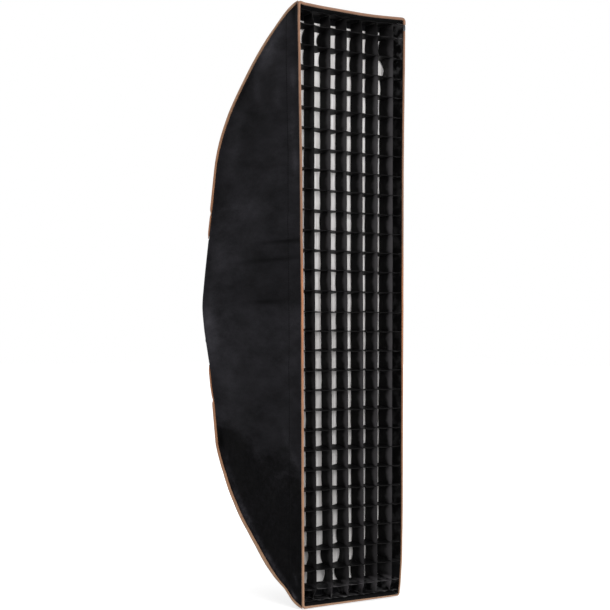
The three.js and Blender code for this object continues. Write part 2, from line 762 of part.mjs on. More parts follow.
// Rings of points about a line of places, joined into one closed wire
function wireThrough(points, radius, sides) {
  const positions = [];
  const faces = [];
  const path = new PointPath(points);
  const last = points.length - 1;
  points.forEach((point, i) => {
    const along = path.getTangentAt(i / last);
    const out = new THREE.Vector3(0, point.y - lockY, point.z - lockZ).normalize();
    const across = new THREE.Vector3().crossVectors(along, out).normalize();
    const up = new THREE.Vector3().crossVectors(across, along);
    for (let k = 0; k < sides; k += 1) {
      const angle = 2 * Math.PI * k / sides;
      positions.push(...point.clone()
        .addScaledVector(up, radius * Math.cos(angle)).addScaledVector(across, radius * Math.sin(angle)));
    }
  });
  const corner = (i, k) => i * sides + (k % sides);
  for (let i = 0; i < last; i += 1) {
    for (let k = 0; k < sides; k += 1) {
      faces.push(corner(i, k), corner(i, k + 1), corner(i + 1, k));
      faces.push(corner(i + 1, k), corner(i, k + 1), corner(i + 1, k + 1));
    }
  }
  for (let k = 1; k < sides - 1; k += 1) {
    faces.push(corner(0, 0), corner(0, k + 1), corner(0, k));
    faces.push(corner(last, 0), corner(last, k), corner(last, k + 1));
  }
  const geometry = new THREE.BufferGeometry();
  geometry.setAttribute('position', new THREE.Float32BufferAttribute(positions, 3));
  geometry.setIndex(faces);
  return geometry;
}

// Least gap between one curl and the next
function leastGap(points, radius, stepsPerCurl) {
  let least = Infinity;
  for (let i = 0; i < points.length; i += 1) {
    for (let k = i + Math.floor(stepsPerCurl / 2) + 1; k < points.length; k += 1) {
      least = Math.min(least, points[i].distanceTo(points[k]) - 2 * radius);
    }
  }
  return least;
}

function releaseSpring() {
  const points = releaseSpringPoints();
  const gap = leastGap(points, springWireRadius, springCurlSteps);
  console.log(`release spring: least gap between curls ${gap.toFixed(2)} mm`);
  return wireThrough(points, springWireRadius, springWireSides);
}

// Clamp knob: a screw through the hub onto the neck, under a lobed head
function clampKnob() {
  const outline = Array.from({ length: knobLobes * pinSides / 2 }, (_, i) => {
    const angle = 2 * Math.PI * i / (knobLobes * pinSides / 2);
    const radius = knobRadius - knobBevel - knobLobeDepth * (1 - Math.cos(knobLobes * angle)) / 2;
    return new THREE.Vector2(radius * Math.cos(angle), radius * Math.sin(angle));
  });
  const options = {
    depth: knobHeight - 2 * knobBevel, bevelThickness: knobBevel, bevelSize: knobBevel, bevelSegments: 2 };
  const head = new THREE.ExtrudeGeometry(new THREE.Shape(outline), options)
    .translate(0, hubMiddleY, hubBarTop + clearance + knobBevel);
  const screwEnd = neckRadius + noseClearance;
  const screwTop = hubBarTop + clearance + knobHeight / 2;
  const screw = new THREE.CylinderGeometry(knobScrewRadius, knobScrewRadius, screwTop - screwEnd, pinSides)
    .rotateX(Math.PI / 2).translate(0, hubMiddleY, (screwTop + screwEnd) / 2);
  return joined(head, screw);
}

// The softbox, piece by piece
const softbox = new THREE.Group();
const lampSide = new THREE.Group();
const hub = new THREE.Group();
const openFront = new THREE.Group();
softbox.add(lampSide, hub);
hub.add(openFront);

function place(group, name, geometry, material) {
  const piece = new THREE.Mesh(mirrored(geometry, 1, 1), material);
  piece.name = name;
  group.add(piece);
}

place(lampSide, 'bayonet_ring', bayonetRing(), bareAluminium);
place(lampSide, 'retaining_ring', retainingRing(), springSteel);
place(hub, 'hub_plate', hubPlate(), castAluminium);
place(hub, 'clamp_knob', clampKnob(), blackPlastic);
place(hub, 'inner_baffle', innerBaffle(), whiteDiffusion);
place(openFront, 'egg_crate_grid', eggCrateGrid(), gridNylon);
place(openFront, 'front_diffuser', frontDiffuser(), whiteDiffusion);
place(openFront, 'diffuser_border', diffuserBorder(), blackNylon);

for (const [side, signX] of [['left', 1], ['right', -1]]) {
  place(hub, `side_panel_${side}`, mirrored(leftPanel(), signX, 1), blackNylon);
  place(openFront, `rim_piping_${side}`, mirrored(rightRimPiping(), -signX, 1), copperPiping);
  place(openFront, `front_band_${side}`, mirrored(leftBand(), signX, 1), loopBand);
}

const armPieces = [
  ['arm_socket', armSocket(), castAluminium],
  ['spring_rod', springRod(), springSteel],
  ['rod_cap', rodCap(), blackPlastic],
  ['corner_pocket', cornerPocket(), blackNylon],
  ['seam_piping', upperRightSeamPiping(), copperPiping],
];
const hingePieces = [
  ['pivot_pin', pivotPin(), springSteel],
  ['release_pin', releasePin(), bareAluminium],
  ['release_spring', releaseSpring(), springSteel],
  ['baffle_strap', upperRightStrap(), blackElastic],
];
const endPieces = [
  ['end_panel', upperPanel(), blackNylon],
  ['rear_flap', upperFlap(), blackNylon],
  ['rim_piping', upperRimPiping(), copperPiping],
  ['front_band', upperBand(), loopBand],
];

for (const [level, signZ] of [['upper', 1], ['lower', -1]]) {
  for (const [side, signX] of [['left', -1], ['right', 1]]) {
    const arm = new THREE.Group();
    hub.add(arm);
    for (const [name, geometry, material] of armPieces) {
      place(arm, `${name}_${level}_${side}`, mirrored(geometry, signX, signZ), material);
    }
    for (const [name, geometry, material] of hingePieces) {
      place(hub, `${name}_${level}_${side}`, mirrored(geometry, signX, signZ), material);
    }
  }
  for (const [name, geometry, material] of endPieces) {
    place(hub, `${name}_${level}`, mirrored(geometry, 1, signZ), material);
  }
}

export default softbox;
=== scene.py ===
"""Strip softbox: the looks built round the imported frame, in the order in which the box is put together."""
import functools
import math

import bpy
import numpy as np
from mathutils import Matrix, Vector


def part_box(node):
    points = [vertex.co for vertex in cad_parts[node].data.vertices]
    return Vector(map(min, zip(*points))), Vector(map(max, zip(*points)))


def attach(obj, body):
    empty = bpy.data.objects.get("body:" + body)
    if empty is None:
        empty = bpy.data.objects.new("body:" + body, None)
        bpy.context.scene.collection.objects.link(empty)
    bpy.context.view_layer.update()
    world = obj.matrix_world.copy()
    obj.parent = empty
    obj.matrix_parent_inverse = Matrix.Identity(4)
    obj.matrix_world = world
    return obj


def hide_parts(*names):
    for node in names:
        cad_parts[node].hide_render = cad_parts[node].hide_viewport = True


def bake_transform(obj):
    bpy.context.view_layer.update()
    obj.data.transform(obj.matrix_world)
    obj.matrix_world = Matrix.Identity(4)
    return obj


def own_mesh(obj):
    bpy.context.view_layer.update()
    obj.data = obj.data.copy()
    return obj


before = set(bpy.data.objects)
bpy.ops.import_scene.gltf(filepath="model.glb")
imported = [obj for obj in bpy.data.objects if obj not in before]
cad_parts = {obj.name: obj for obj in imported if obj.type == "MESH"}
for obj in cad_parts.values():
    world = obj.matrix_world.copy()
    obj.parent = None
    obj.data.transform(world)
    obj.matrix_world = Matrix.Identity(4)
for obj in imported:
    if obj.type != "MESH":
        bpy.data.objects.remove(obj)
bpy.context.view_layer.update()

# Bayonet ring and retaining ring. The bayonet ring is turned from aluminium bar, with a neck that the hub
# turns on and three hooked lugs that lock into the lamp; a steel ring pressed on the neck holds the hub.
MM = 0.001
SHARP_EDGE, SOFT_EDGE = math.radians(35), math.radians(50)  # edges above these angles stay sharp


def pick(*pieces):
    """Selects these objects alone, and makes the last one active."""
    bpy.ops.object.select_all(action="DESELECT")
    for piece in pieces:
        piece.select_set(True)
    bpy.context.view_layer.objects.active = pieces[-1]


def apply_modifiers(piece):
    pick(piece)
    for modifier in list(piece.modifiers):
        bpy.ops.object.modifier_apply(modifier=modifier.name)


def finish_piece(piece, body, slot, *nodes):
    """Puts a piece on its body, in place of the CAD nodes that it stands for."""
    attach(piece, body)
    if nodes:
        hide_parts(*nodes)


def refined(name, node, bevel, material, body, slot):
    """A CAD node's copy in its place, with triangles merged, flat faces joined and edges rounded."""
    piece = bpy.data.objects.new(name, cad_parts[node].data.copy())
    bpy.context.scene.collection.objects.link(piece)
    pick(piece)
    bpy.ops.object.mode_set(mode="EDIT")
    bpy.ops.mesh.select_all(action="SELECT")
    bpy.ops.mesh.remove_doubles(threshold=0.01 * MM)
    bpy.ops.mesh.dissolve_limited(angle_limit=math.radians(1))
    bpy.ops.object.mode_set(mode="OBJECT")
    if bevel:
        rounding = piece.modifiers.new("rounding", "BEVEL")
        rounding.width, rounding.segments = bevel * MM, 2
        rounding.limit_method, rounding.angle_limit = "ANGLE", SHARP_EDGE
        apply_modifiers(piece)
    bpy.ops.object.shade_smooth_by_angle(angle=SHARP_EDGE)
    piece.data.materials.clear()
    piece.data.materials.append(material)
    finish_piece(piece, body, slot, node)
    return piece


def colour(text):
    """A hex sRGB colour as linear values for a socket."""
    values = [int(text[i:i + 2], 16) / 255 for i in (1, 3, 5)]
    return tuple(v / 12.92 if v <= 0.04045 else ((v + 0.055) / 1.055) ** 2.4 for v in values) + (1.0,)


def add_node(owner, kind, *values, **named):
    """Adds a node. Values fill its sockets in order, so a MapRange takes its value, from, from, to and to. A name
    with a capital is a socket's, and the others are settings."""
    node = owner.node_tree.nodes.new("ShaderNode" + kind)
    for name, value in named.items():
        if name[0].islower():
            setattr(node, name, value)
    shown = [socket for socket in node.inputs if socket.enabled]
    filled = [(shown[i], value) for i, value in enumerate(values)]
    filled += [(node.inputs[name.replace("_", " ")], value) for name, value in named.items() if name[0].isupper()]
    for socket, value in filled:
        if isinstance(value, bpy.types.Node):
            value = next(output for output in value.outputs if output.enabled)
        if isinstance(value, bpy.types.NodeSocket):
            owner.node_tree.links.new(value, socket)
        elif value is not None:
            socket.default_value = value
    return node


def new_material(name):
    """An empty material, the function that adds nodes to it, and its texture coordinates."""
    material = bpy.data.materials.new(name)
    material.use_nodes = True
    material.node_tree.nodes.clear()
    add = functools.partial(add_node, material)
    return material, add, add("TexCoord").outputs


# Turned aluminium: bright, with fine tool lines round the axis that widen its highlights
turned_aluminium, add, place = new_material("turned_aluminium")
TOOL_LINE = 0.6 * MM  # drawn coarse, as real lines of 0.1 mm don't show
WAVE = 0.314  # the scale at which a wave texture has one ridge to the metre
lines = add("TexWave", place["Object"], wave_type="RINGS", rings_direction="Y",
            Scale=WAVE / TOOL_LINE, Distortion=1.5, Detail=2.0)
smudge = add("TexNoise", place["Object"], Scale=1 / (9 * MM), Detail=4.0)
gloss = add("MapRange", smudge, 0.3, 0.7, 0.24, 0.4)
relief = add("Bump", Height=lines, Strength=0.12, Distance=0.05 * MM)
shader = add("BsdfPrincipled", Base_Color=colour("#a6a7aa"), Metallic=1.0, Roughness=gloss, Normal=relief)
add("OutputMaterial", Surface=shader)

refined("bayonet_ring_turned", "bayonet_ring", 0.5, turned_aluminium, "bayonet", "bare_aluminium")

# Drawn steel: bright wire and pins with a thin zinc finish, a little cloudy
drawn_steel, add, place = new_material("zinc_plated_steel")
cloud = add("TexNoise", place["Object"], Scale=1 / (4 * MM), Detail=3.0)
gloss = add("MapRange", cloud, 0.3, 0.7, 0.22, 0.38)
tint = add("Mix", cloud, colour("#85888d"), colour("#9a9ca0"), data_type="RGBA")
shader = add("BsdfPrincipled", Base_Color=tint, Metallic=1.0, Roughness=gloss)
add("OutputMaterial", Surface=shader)

refined("retaining_ring_pressed", "retaining_ring", 0.4, drawn_steel, "bayonet", "spring_steel")

# Hub casting: the aluminium plate that carries the four arms between its ears, powder coated black, with
# cast recesses to save weight. The nylon clamp knob screws through it onto the neck of the bayonet ring.

# Powder coat: black, fine orange-peel texture of about a millimetre, rubbed a little brighter on edges
powder_coat, add, place = new_material("black_powder_coat")
peel = add("TexNoise", place["Object"], Scale=1 / (0.9 * MM), Detail=3.0)
wear = add("TexNoise", place["Object"], Scale=1 / (14 * MM), Detail=5.0)
edge = add("MapRange", add("NewGeometry").outputs["Pointiness"], 0.51, 0.56)
rub = add("Math", edge, wear, operation="MULTIPLY")
tint = add("Mix", rub, colour("#1d1e20"), colour("#4a4b4e"), data_type="RGBA")
gloss = add("MapRange", wear, 0.3, 0.7, 0.42, 0.55)
relief = add("Bump", Height=peel, Strength=0.35, Distance=0.1 * MM)
shader = add("BsdfPrincipled", Base_Color=tint, Roughness=gloss, Normal=relief)
add("OutputMaterial", Surface=shader)

refined("hub_casting", "hub_plate", 0.7, powder_coat, "hub", "cast_aluminium")

# Moulded nylon: black plastic with a fine spark-eroded grain
moulded_nylon, add, place = new_material("moulded_nylon")
grain = add("TexNoise", place["Object"], Scale=1 / (0.5 * MM), Detail=2.0)
patch = add("TexNoise", place["Object"], Scale=1 / (8 * MM), Detail=3.0)
gloss = add("MapRange", patch, 0.3, 0.7, 0.42, 0.56)
tint = add("Mix", patch, colour("#19191a"), colour("#202022"), data_type="RGBA")
relief = add("Bump", Height=grain, Strength=0.25, Distance=0.05 * MM)
shader = add("BsdfPrincipled", Base_Color=tint, Roughness=gloss, Normal=relief)
add("OutputMaterial", Surface=shader)

refined("clamp_knob_moulded", "clamp_knob", 0.3, moulded_nylon, "knob", "black_plastic")

# Arms: each cast socket hinges on a steel pin between two ears of the hub. A sprung pin with a waisted pull
# locks it, a steel rod runs from it along the seam, and a moulded cap on the rod sits in a webbing pocket.
PULL_TRAVEL, ROD_RADIUS = 5.0, 3.0
LEVELS, SIDES = (("upper", 1), ("lower", -1)), (("left", -1), ("right", 1))
CORNERS = [(level + "_" + side, np.array([sign, 1, up])) for level, up in LEVELS for side, sign in SIDES]
for corner, _ in CORNERS:
    refined("socket_" + corner, "arm_socket_" + corner, 0.45, powder_coat, "arm_" + corner, "cast_aluminium")
    refined("hinge_pin_" + corner, "pivot_pin_" + corner, 0.3, drawn_steel, "hub", "spring_steel")
    refined("lock_pin_" + corner, "release_pin_" + corner, 0.3, turned_aluminium, "release_" + corner,
            "bare_aluminium")
    spring = refined("lock_spring_" + corner, "release_spring_" + corner, 0, drawn_steel, "hub", "spring_steel")
    ends = [end[0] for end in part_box("release_spring_" + corner)]
    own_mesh(spring)

# The side seam in (y, z), from the front corner: a bow, then straight to the middle of the ring
FRONT_Y, HALF_OPENING, NECK_TAPER = -378.0, 150.0, 74 / 378
BACK_SLOPE = 55 / 290  # of the straight length behind the bow
bow_handles = np.array([(FRONT_Y, 600), (-228, 555), (-75.86, 400), (-55, 290)], float)
step = np.linspace(0, 1, 400)[:, None]
bow = ((1 - step) ** 3 * bow_handles[0] + 3 * step * (1 - step) ** 2 * bow_handles[1]
       + 3 * step ** 2 * (1 - step) * bow_handles[2] + step ** 3 * bow_handles[3])
seam = np.vstack([bow, (0, 0)])
seam_lengths = np.concatenate([[0], np.cumsum(np.hypot(*np.diff(seam, axis=0).T))])


def along_seam(lengths, inset=0.0):
    """Places (y, z) at these lengths from the front corner, moved into the box by the inset."""
    lengths = np.asarray(lengths, float)
    before, here, after = (
        np.array([np.interp(lengths + shift, seam_lengths, seam[:, k]) for k in (0, 1)]) for shift in (-0.5, 0, 0.5))
    run_y, run_z = (after - before) / np.hypot(*(after - before))
    return here[0] + run_z * inset, here[1] - run_y * inset


def half_width(y):
    return HALF_OPENING - (y - FRONT_Y) * NECK_TAPER


def smooth(value):
    value = np.clip(value, 0, 1)
    return value * value * (3 - 2 * value)


# How far the photographed box hangs out of true, in millimetres at these heights z: the rims and the grid to
# the side, the bowed seam to the front. Across the top, how far the rim sags at these places x.
LEFT_RIM = ((-600, 5.2), (-315, 2.6), (0, 0), (315, -5.8), (560, -12), (604, -12))
RIGHT_RIM = ((-604, -13), (-575, -9), (-530, -5), (-460, -2.9), (315, -2.9), (560, 0.6), (604, 0.6))
GRID_LEAN = ((-600, 9.5), (-495, 8.6), (-336, 6.2), (-180, 4.4), (0, 2.2), (120, 0.2), (300, -1.4), (450, -2),
             (604, -3))
SEAM_FORWARD = ((-590, 2), (-560, 4), (-530, 10.5), (-500, 17.5), (-470, 20.5), (-440, 20), (-410, 20.5),
                (-380, 18.7), (-350, 18), (-320, 14.5), (-290, 10.5), (-200, 11.5), (-170, 9), (-124, 9), (-50, 2.5),
                (0, 1), (200, 2), (350, 2), (410, 3.2), (440, 5.6), (470, 7.5), (500, 8), (530, 8.6), (560, 8),
                (580, 3))
TOP_SAG = ((-150, 0), (-138, -2.5), (-100, -3.4), (20, -3.4), (60, -2.3), (100, -0.2), (140, 2.2))
LEAN_REACH, SAG_REACH = 300.0, 120.0  # how far back from the open front the lean and the sag fade out
STIFF_LIP, LOW_LIFT = 36.0, 9.0  # the lip that the bands hold, and how far the low end rises behind it


def settle(piece, slump=((0, 0),)):
    """Moves a finished mesh from its drawn place to where the photographed box hangs, and down by the slump."""
    count = len(piece.data.vertices)
    points = np.empty(count * 3, np.float32)
    piece.data.vertices.foreach_get("co", points)
    x, y, z = (points.reshape(count, 3).astype(float) / MM).T
    depth = y - FRONT_Y
    side = x / half_width(y)
    near_left, near_right = smooth((-side - 0.76) / 0.24), smooth((side - 0.76) / 0.24)
    ahead = smooth(1 - depth / LEAN_REACH)
    shift = [np.interp(z, *zip(*table)) for table in (LEFT_RIM, RIGHT_RIM, GRID_LEAN)]
    middle = smooth((0.63 - side) / 0.63) * (1 - near_left) * (1 - near_right)
    move_x = ahead * (near_left * shift[0] + near_right * shift[1] + middle * shift[2])
    seam_depth = np.interp(np.abs(z), seam[::-1, 1], seam[::-1, 0]) - FRONT_Y
    far_back = np.clip((depth - STIFF_LIP) / (np.maximum(seam_depth, 60) - STIFF_LIP), 0, 1.1)
    beside = smooth((np.abs(side) - 0.8) / 0.2)
    follows = 1 - (1 - beside) * (1 - smooth((np.abs(z) - 150) / 100))
    move_y = -np.interp(z, *zip(*SEAM_FORWARD)) * far_back * follows
    sag = np.interp(x, *zip(*TOP_SAG)) * smooth((z - 500) / 95) * smooth(1 - depth / SAG_REACH)
    lift = LOW_LIFT * smooth((-z - 400) / 150) * smooth((depth - 20) / 50)
    moved = np.stack([x + move_x, y + move_y, z + sag + lift + np.interp(z, *zip(*slump))], 1) * MM
    piece.data.vertices.foreach_set("co", moved.astype(np.float32).ravel())
    piece.data.update()


def hang(piece, body, slot, *nodes):
    """Settles a piece and puts it on its body."""
    settle(piece)
    finish_piece(piece, body, slot, *nodes)


def new_piece(name, points, faces, corner_uv, *materials):
    """A piece from points in millimetres, with a UV pair in metres for each corner of each face."""
    mesh = bpy.data.meshes.new(name)
    mesh.from_pydata([tuple(point * MM) for point in points], [], faces)
    mesh.uv_layers.new(name="UVMap").data.foreach_set("uv", np.array(corner_uv, np.float32).ravel())
    for material in materials:
        mesh.materials.append(material)
    piece = bpy.data.objects.new(name, mesh)
    bpy.context.scene.collection.objects.link(piece)
    return piece


def tube(name, path, radius, material, sides):
    """A closed round cord along points in millimetres, with a UV map in metres along it and round it."""
    path = np.asarray(path, float)
    radius = np.broadcast_to(np.asarray(radius, float), len(path))[:, None, None]
    run = np.gradient(path, axis=0)
    run /= np.linalg.norm(run, axis=1)[:, None]
    across = np.zeros_like(path)
    across[0] = np.cross(run[0], (0.3, 1.0, 0.2))
    for i in range(len(path)):
        last = across[max(i - 1, 0)]
        across[i] = last - run[i] * (last @ run[i])
        across[i] /= np.linalg.norm(across[i])
    up = np.cross(run, across)
    turn = np.arange(sides) * 2 * math.pi / sides
    rings = (path[:, None] + radius * np.cos(turn)[None, :, None] * across[:, None]
             + radius * np.sin(turn)[None, :, None] * up[:, None])
    points = [*rings.reshape(-1, 3), path[0], path[-1]]
    count = len(path)
    faces, corner_uv = [], []
    travel = np.concatenate([[0], np.cumsum(np.linalg.norm(np.diff(path, axis=0), axis=1))]) * MM
    for i in range(count - 1):
        for k in range(sides):
            after = (k + 1) % sides
            faces.append((i * sides + k, i * sides + after, (i + 1) * sides + after, (i + 1) * sides + k))
            corner_uv += [(travel[i], k / sides), (travel[i], (k + 1) / sides),
                          (travel[i + 1], (k + 1) / sides), (travel[i + 1], k / sides)]
    for k in range(sides):
        after = (k + 1) % sides
        faces.append((count * sides, after, k))
        faces.append((count * sides + 1, (count - 1) * sides + k, (count - 1) * sides + after))
        corner_uv += [(0, k / sides)] * 3 + [(travel[-1], k / sides)] * 3
    piece = new_piece(name, points, faces, corner_uv, material)
    pick(piece)
    bpy.ops.object.mode_set(mode="EDIT")
    bpy.ops.mesh.select_all(action="SELECT")
    bpy.ops.mesh.normals_make_consistent(inside=False)
    bpy.ops.object.mode_set(mode="OBJECT")
    bpy.ops.object.shade_smooth_by_angle(angle=SOFT_EDGE)
    return piece


ROD_INSET, ROD_SLEEVE, TIP_LENGTH = 10.55, 26.0, 54.0
HINGE_X, HINGE_Y, HINGE_Z = 58.0, -23.26, 66.0
HINGE_FROM_SEAM = math.hypot(HINGE_Z + 2, 13)
tip_y = along_seam(TIP_LENGTH, ROD_INSET)[0]
tip_x = half_width(tip_y) - ROD_INSET / math.cos(math.atan(NECK_TAPER))
rod_lengths = np.linspace(TIP_LENGTH, seam_lengths[-1] - HINGE_FROM_SEAM - ROD_SLEEVE, 60)
rod_y, rod_z = along_seam(rod_lengths, ROD_INSET)
rod_x = HINGE_X + (tip_x - HINGE_X) * (HINGE_Y - rod_y) / (HINGE_Y - tip_y)

# Webbing: heavy black tape for the pockets, matt, with coarse ribs that show as fine lines
webbing, add, place = new_material("pocket_webbing")
ribs = add("TexWave", place["Object"], bands_direction="Z", Scale=WAVE / (1.6 * MM), Distortion=0.6)
tint = add("Mix", ribs, colour("#151516"), colour("#232325"), data_type="RGBA")
relief = add("Bump", Height=ribs, Strength=0.6, Distance=0.3 * MM)
shader = add("BsdfPrincipled", Base_Color=tint, Roughness=0.8, Sheen_Weight=0.15, Normal=relief)
add("OutputMaterial", Surface=shader)

for corner, mirror in CORNERS:
    rod = tube("rod_" + corner, np.stack([rod_x, rod_y, rod_z], 1) * mirror, ROD_RADIUS, drawn_steel, sides=16)
    hang(rod, "arm_" + corner, "spring_steel", "spring_rod_" + corner)
    settle(refined("cap_" + corner, "rod_cap_" + corner, 0.4, moulded_nylon, "arm_" + corner, "black_plastic"))
    settle(refined("pocket_" + corner, "corner_pocket_" + corner, 0.8, webbing, "arm_" + corner, "black_nylon"))

# Side panels: flat D-shaped cuts of coated satin nylon, black outside and silver inside, leaning in from
# the open front to the hub. A line of stitches behind the front edge holds the fastening band inside.
WALL_SLANT = math.atan(NECK_TAPER)
WALL_LEAN = 1 / math.cos(WALL_SLANT)
CLOTH, PIPED_EDGE, CLEARANCE = 1.5, 1.6, 0.3
REAR_HEIGHT, NOSE = 144.0, 21.0
rear_length = seam_lengths[-1] - math.hypot(REAR_HEIGHT, BACK_SLOPE * REAR_HEIGHT)

# Coated satin nylon: near black, a fine plain weave with a soft sheen and faint cloudy blotches; on the side cloth
# painted shade darkens its lower third in smeared blotches, and a point attribute adds painted light and shade
THREAD = 0.9 * MM  # drawn coarse, as real threads of 0.2 mm don't show
BLOTCH, SPECKLE, LOW_SHADE_BLOTCH = 60 * MM, 4 * MM, 16 * MM
STITCH_LINE, STITCH_PUCKER, STITCH_PITCH, STITCH = 47.0, 2.5, 3.6 * MM, 2.5 * MM


def woven(name, dark, light, gloss_range, stitch=None, shine=0.01):
    """A plain woven cloth on its UV map in metres, with a line of stitches across U where one is named."""
    material, add, place = new_material(name)
    warp = add("TexWave", place["UV"], bands_direction="X", Scale=WAVE / THREAD)
    weft = add("TexWave", place["UV"], bands_direction="Y", Scale=WAVE / THREAD)
    weave = add("Math", warp, weft, operation="MULTIPLY")
    drawn = add("Mapping", place["UV"], Scale=(0.45, 1.0, 1.0))  # they run across the panel
    blotches = add("TexNoise", drawn, Scale=1 / BLOTCH, Detail=7.0, Roughness=0.66)
    speckle = add("TexNoise", place["UV"], Scale=1 / SPECKLE, Detail=3.0)
    cloudy = add("MapRange", blotches, 0.32, 0.68)
    mixed = add("Mix", 0.3, cloudy, speckle, data_type="FLOAT")
    tint = add("Mix", mixed, colour(dark), colour(light), data_type="RGBA")
    tone_shift = add("TexNoise", drawn, Scale=1 / (3 * BLOTCH), Detail=2.0)
    tone_shift = add("MapRange", tone_shift, 0.35, 0.65, 0.7, 1.3)
    tint = add("Mix", 1.0, tint, tone_shift, data_type="RGBA", blend_type="MULTIPLY")
    gloss = add("MapRange", blotches, 0.3, 0.7, gloss_range[0], gloss_range[1])
    grain = add("Math", speckle, 2.0, operation="MULTIPLY")
    height = add("Math", weave, grain, operation="ADD")
    if stitch:
        parts = add("SeparateXYZ", place["UV"]).outputs
        away = add("Math", parts["X"], stitch, operation="SUBTRACT")
        near = add("Math", away, operation="ABSOLUTE")
        line = add("MapRange", near, 1.6 * MM, 0.5 * MM)
        beat = add("Math", parts["Y"], STITCH_PITCH, operation="MODULO")
        beat = add("Math", beat, operation="ABSOLUTE")
        dash = add("Math", beat, STITCH, operation="LESS_THAN")
        groove = add("Math", line, -2.5, operation="MULTIPLY")
        height = add("Math", height, groove, operation="ADD")
        thread_mask = add("Math", line, dash, operation="MULTIPLY")
        tint = add("Mix", thread_mask, tint, colour("#060607"), data_type="RGBA")
        # Painted shade: below a leaning line, the lower third of the side cloth is darkened in smeared blotches
        leaning = add("Math", parts["X"], -0.33, parts["Y"], operation="MULTIPLY_ADD")
        edge = add("Math", cloudy, BLOTCH, leaning, operation="MULTIPLY_ADD")
        low_shade_blotches = add("TexNoise", place["UV"], Scale=1 / LOW_SHADE_BLOTCH, Detail=5.0, Roughness=0.7)
        low_shade_blotches = add("MapRange", low_shade_blotches, 0.38, 0.66, 0.13, 0.42)
        gloss_spots_and_low_shade = add("MapRange", edge, -0.335, -0.3, low_shade_blotches)
        # The side cloth's painted light and shade, read from its point attribute
        painted_shading = add("Attribute", attribute_name="painted_shading").outputs["Fac"]
        for share in (gloss_spots_and_low_shade, painted_shading):
            tint = add("Mix", 1.0, tint, share, data_type="RGBA", blend_type="MULTIPLY")
    relief = add("Bump", Height=height, Strength=0.35, Distance=0.15 * MM)
    shader = add("BsdfPrincipled", Base_Color=tint, Roughness=gloss, Specular_IOR_Level=shine, Normal=relief)
    add("OutputMaterial", Surface=shader)
    return material


satin_nylon = woven("satin_nylon", "#060607", "#323135", (0.42, 0.62), stitch=STITCH_LINE * MM)

# Silver lining: aluminium-coated cloth pressed with a pebbled grain to spread the light
silver_lining, add, place = new_material("silver_lining")
pebble = add("TexVoronoi", place["UV"], Scale=1 / (3.2 * MM), feature="SMOOTH_F1")
gloss_spots_and_low_shade = add("TexNoise", place["UV"], Scale=1 / (30 * MM), Detail=3.0)
gloss = add("MapRange", gloss_spots_and_low_shade, 0.3, 0.7, 0.34, 0.5)
relief = add("Bump", Height=pebble, Strength=0.7, Distance=0.5 * MM)
shader = add("BsdfPrincipled", Base_Color=colour("#c3c5c8"), Metallic=1.0, Roughness=gloss, Normal=relief)
add("OutputMaterial", Surface=shader)


def cloth(name, patches, thickness, outwards, *materials):
    """A sheet from patches of ((x, y, z), (u, v)) in rows, all in millimetres, made thick about its middle."""
    points, faces, corner_uv = [], [], []
    for patch in patches:
        rows, uv = (np.stack(np.broadcast_arrays(*values), -1).astype(float) for values in patch)
        start, (height, width) = len(points), rows.shape[:2]
        points += list(rows.reshape(-1, 3))
        normal = np.cross(rows[1:, :-1] - rows[:-1, :-1], rows[:-1, 1:] - rows[:-1, :-1]).sum((0, 1))
        flip = normal @ np.asarray(outwards, float) < 0
        for i in range(height - 1):
            for j in range(width - 1):
                ring = [(i, j), (i + 1, j), (i + 1, j + 1), (i, j + 1)]
                if flip:
                    ring.reverse()
                faces.append([start + a * width + b for a, b in ring])
                corner_uv += [uv[a, b] * MM for a, b in ring]
    piece = new_piece(name, points, faces, corner_uv, *materials)
    wall = piece.modifiers.new("thickness", "SOLIDIFY")
    wall.thickness, wall.offset = thickness * MM, 0
    wall.material_offset = len(materials) - 1
    apply_modifiers(piece)
    bpy.ops.object.shade_smooth_by_angle(angle=SOFT_EDGE)
    return piece


def ripples(u, v, seed, wavelength, waves=9, lean=None):
    """A height from -1 to 1 made of a few waves in seeded directions, or all near one direction."""
    source = np.random.default_rng(seed)
    total = np.zeros(np.broadcast(u, v).shape)
    for _ in range(waves):
        angle = source.uniform(0, math.pi) if lean is None else lean + source.normal(0, 0.25)
        length = wavelength * source.uniform(0.6, 1.6)
        phase = source.uniform(0, 2 * math.pi)
        total += np.sin(2 * math.pi * (u * math.cos(angle) + v * math.sin(angle)) / length + phase)
    return total / waves * 1.6


def fold_with_arms(piece, node, slump=((0, 0),)):
    """Settles soft cloth where the photographed box hangs, down by the slump, and hides the CAD node that it stands
    for.
    """
    settle(piece, slump)
    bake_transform(piece)
    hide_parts(node)


PANEL_TOP = float(along_seam(2 * PIPED_EDGE, PIPED_EDGE)[1])
back_y, back_z = along_seam(np.linspace(2 * PIPED_EDGE, rear_length, 400), PIPED_EDGE)
nose_z = np.linspace(REAR_HEIGHT - PIPED_EDGE, 0, 30)
back_y = np.append(back_y, -BACK_SLOPE * np.hypot(nose_z, NOSE * smooth(1.4 - nose_z / 80)))
back_z = np.append(back_z, nose_z)


def wall_distance(y):
    return (y - FRONT_Y) * WALL_LEAN


def on_wall(sign, distance, z, inset=0.0):
    """Points of a side wall, at distances along it from the open front, moved inwards by the inset."""
    x = HALF_OPENING - distance * math.sin(WALL_SLANT) - inset * math.cos(WALL_SLANT)
    y = FRONT_Y + distance * math.cos(WALL_SLANT) - inset * math.sin(WALL_SLANT)
    return sign * x, y, z


def bell(values, at, width):
    """1 at a place, falling to 0 within about two widths of it."""
    return np.exp(-((values - at) / width) ** 2)


def crease(u, v, at, lean, depth, width, start, end):
    """A fold pressed into the cloth along a line, from one value of u to another."""
    return depth * bell(v - at - lean * u, 0, width) * (smooth((u - start) / 30) * smooth((end - u) / 60))


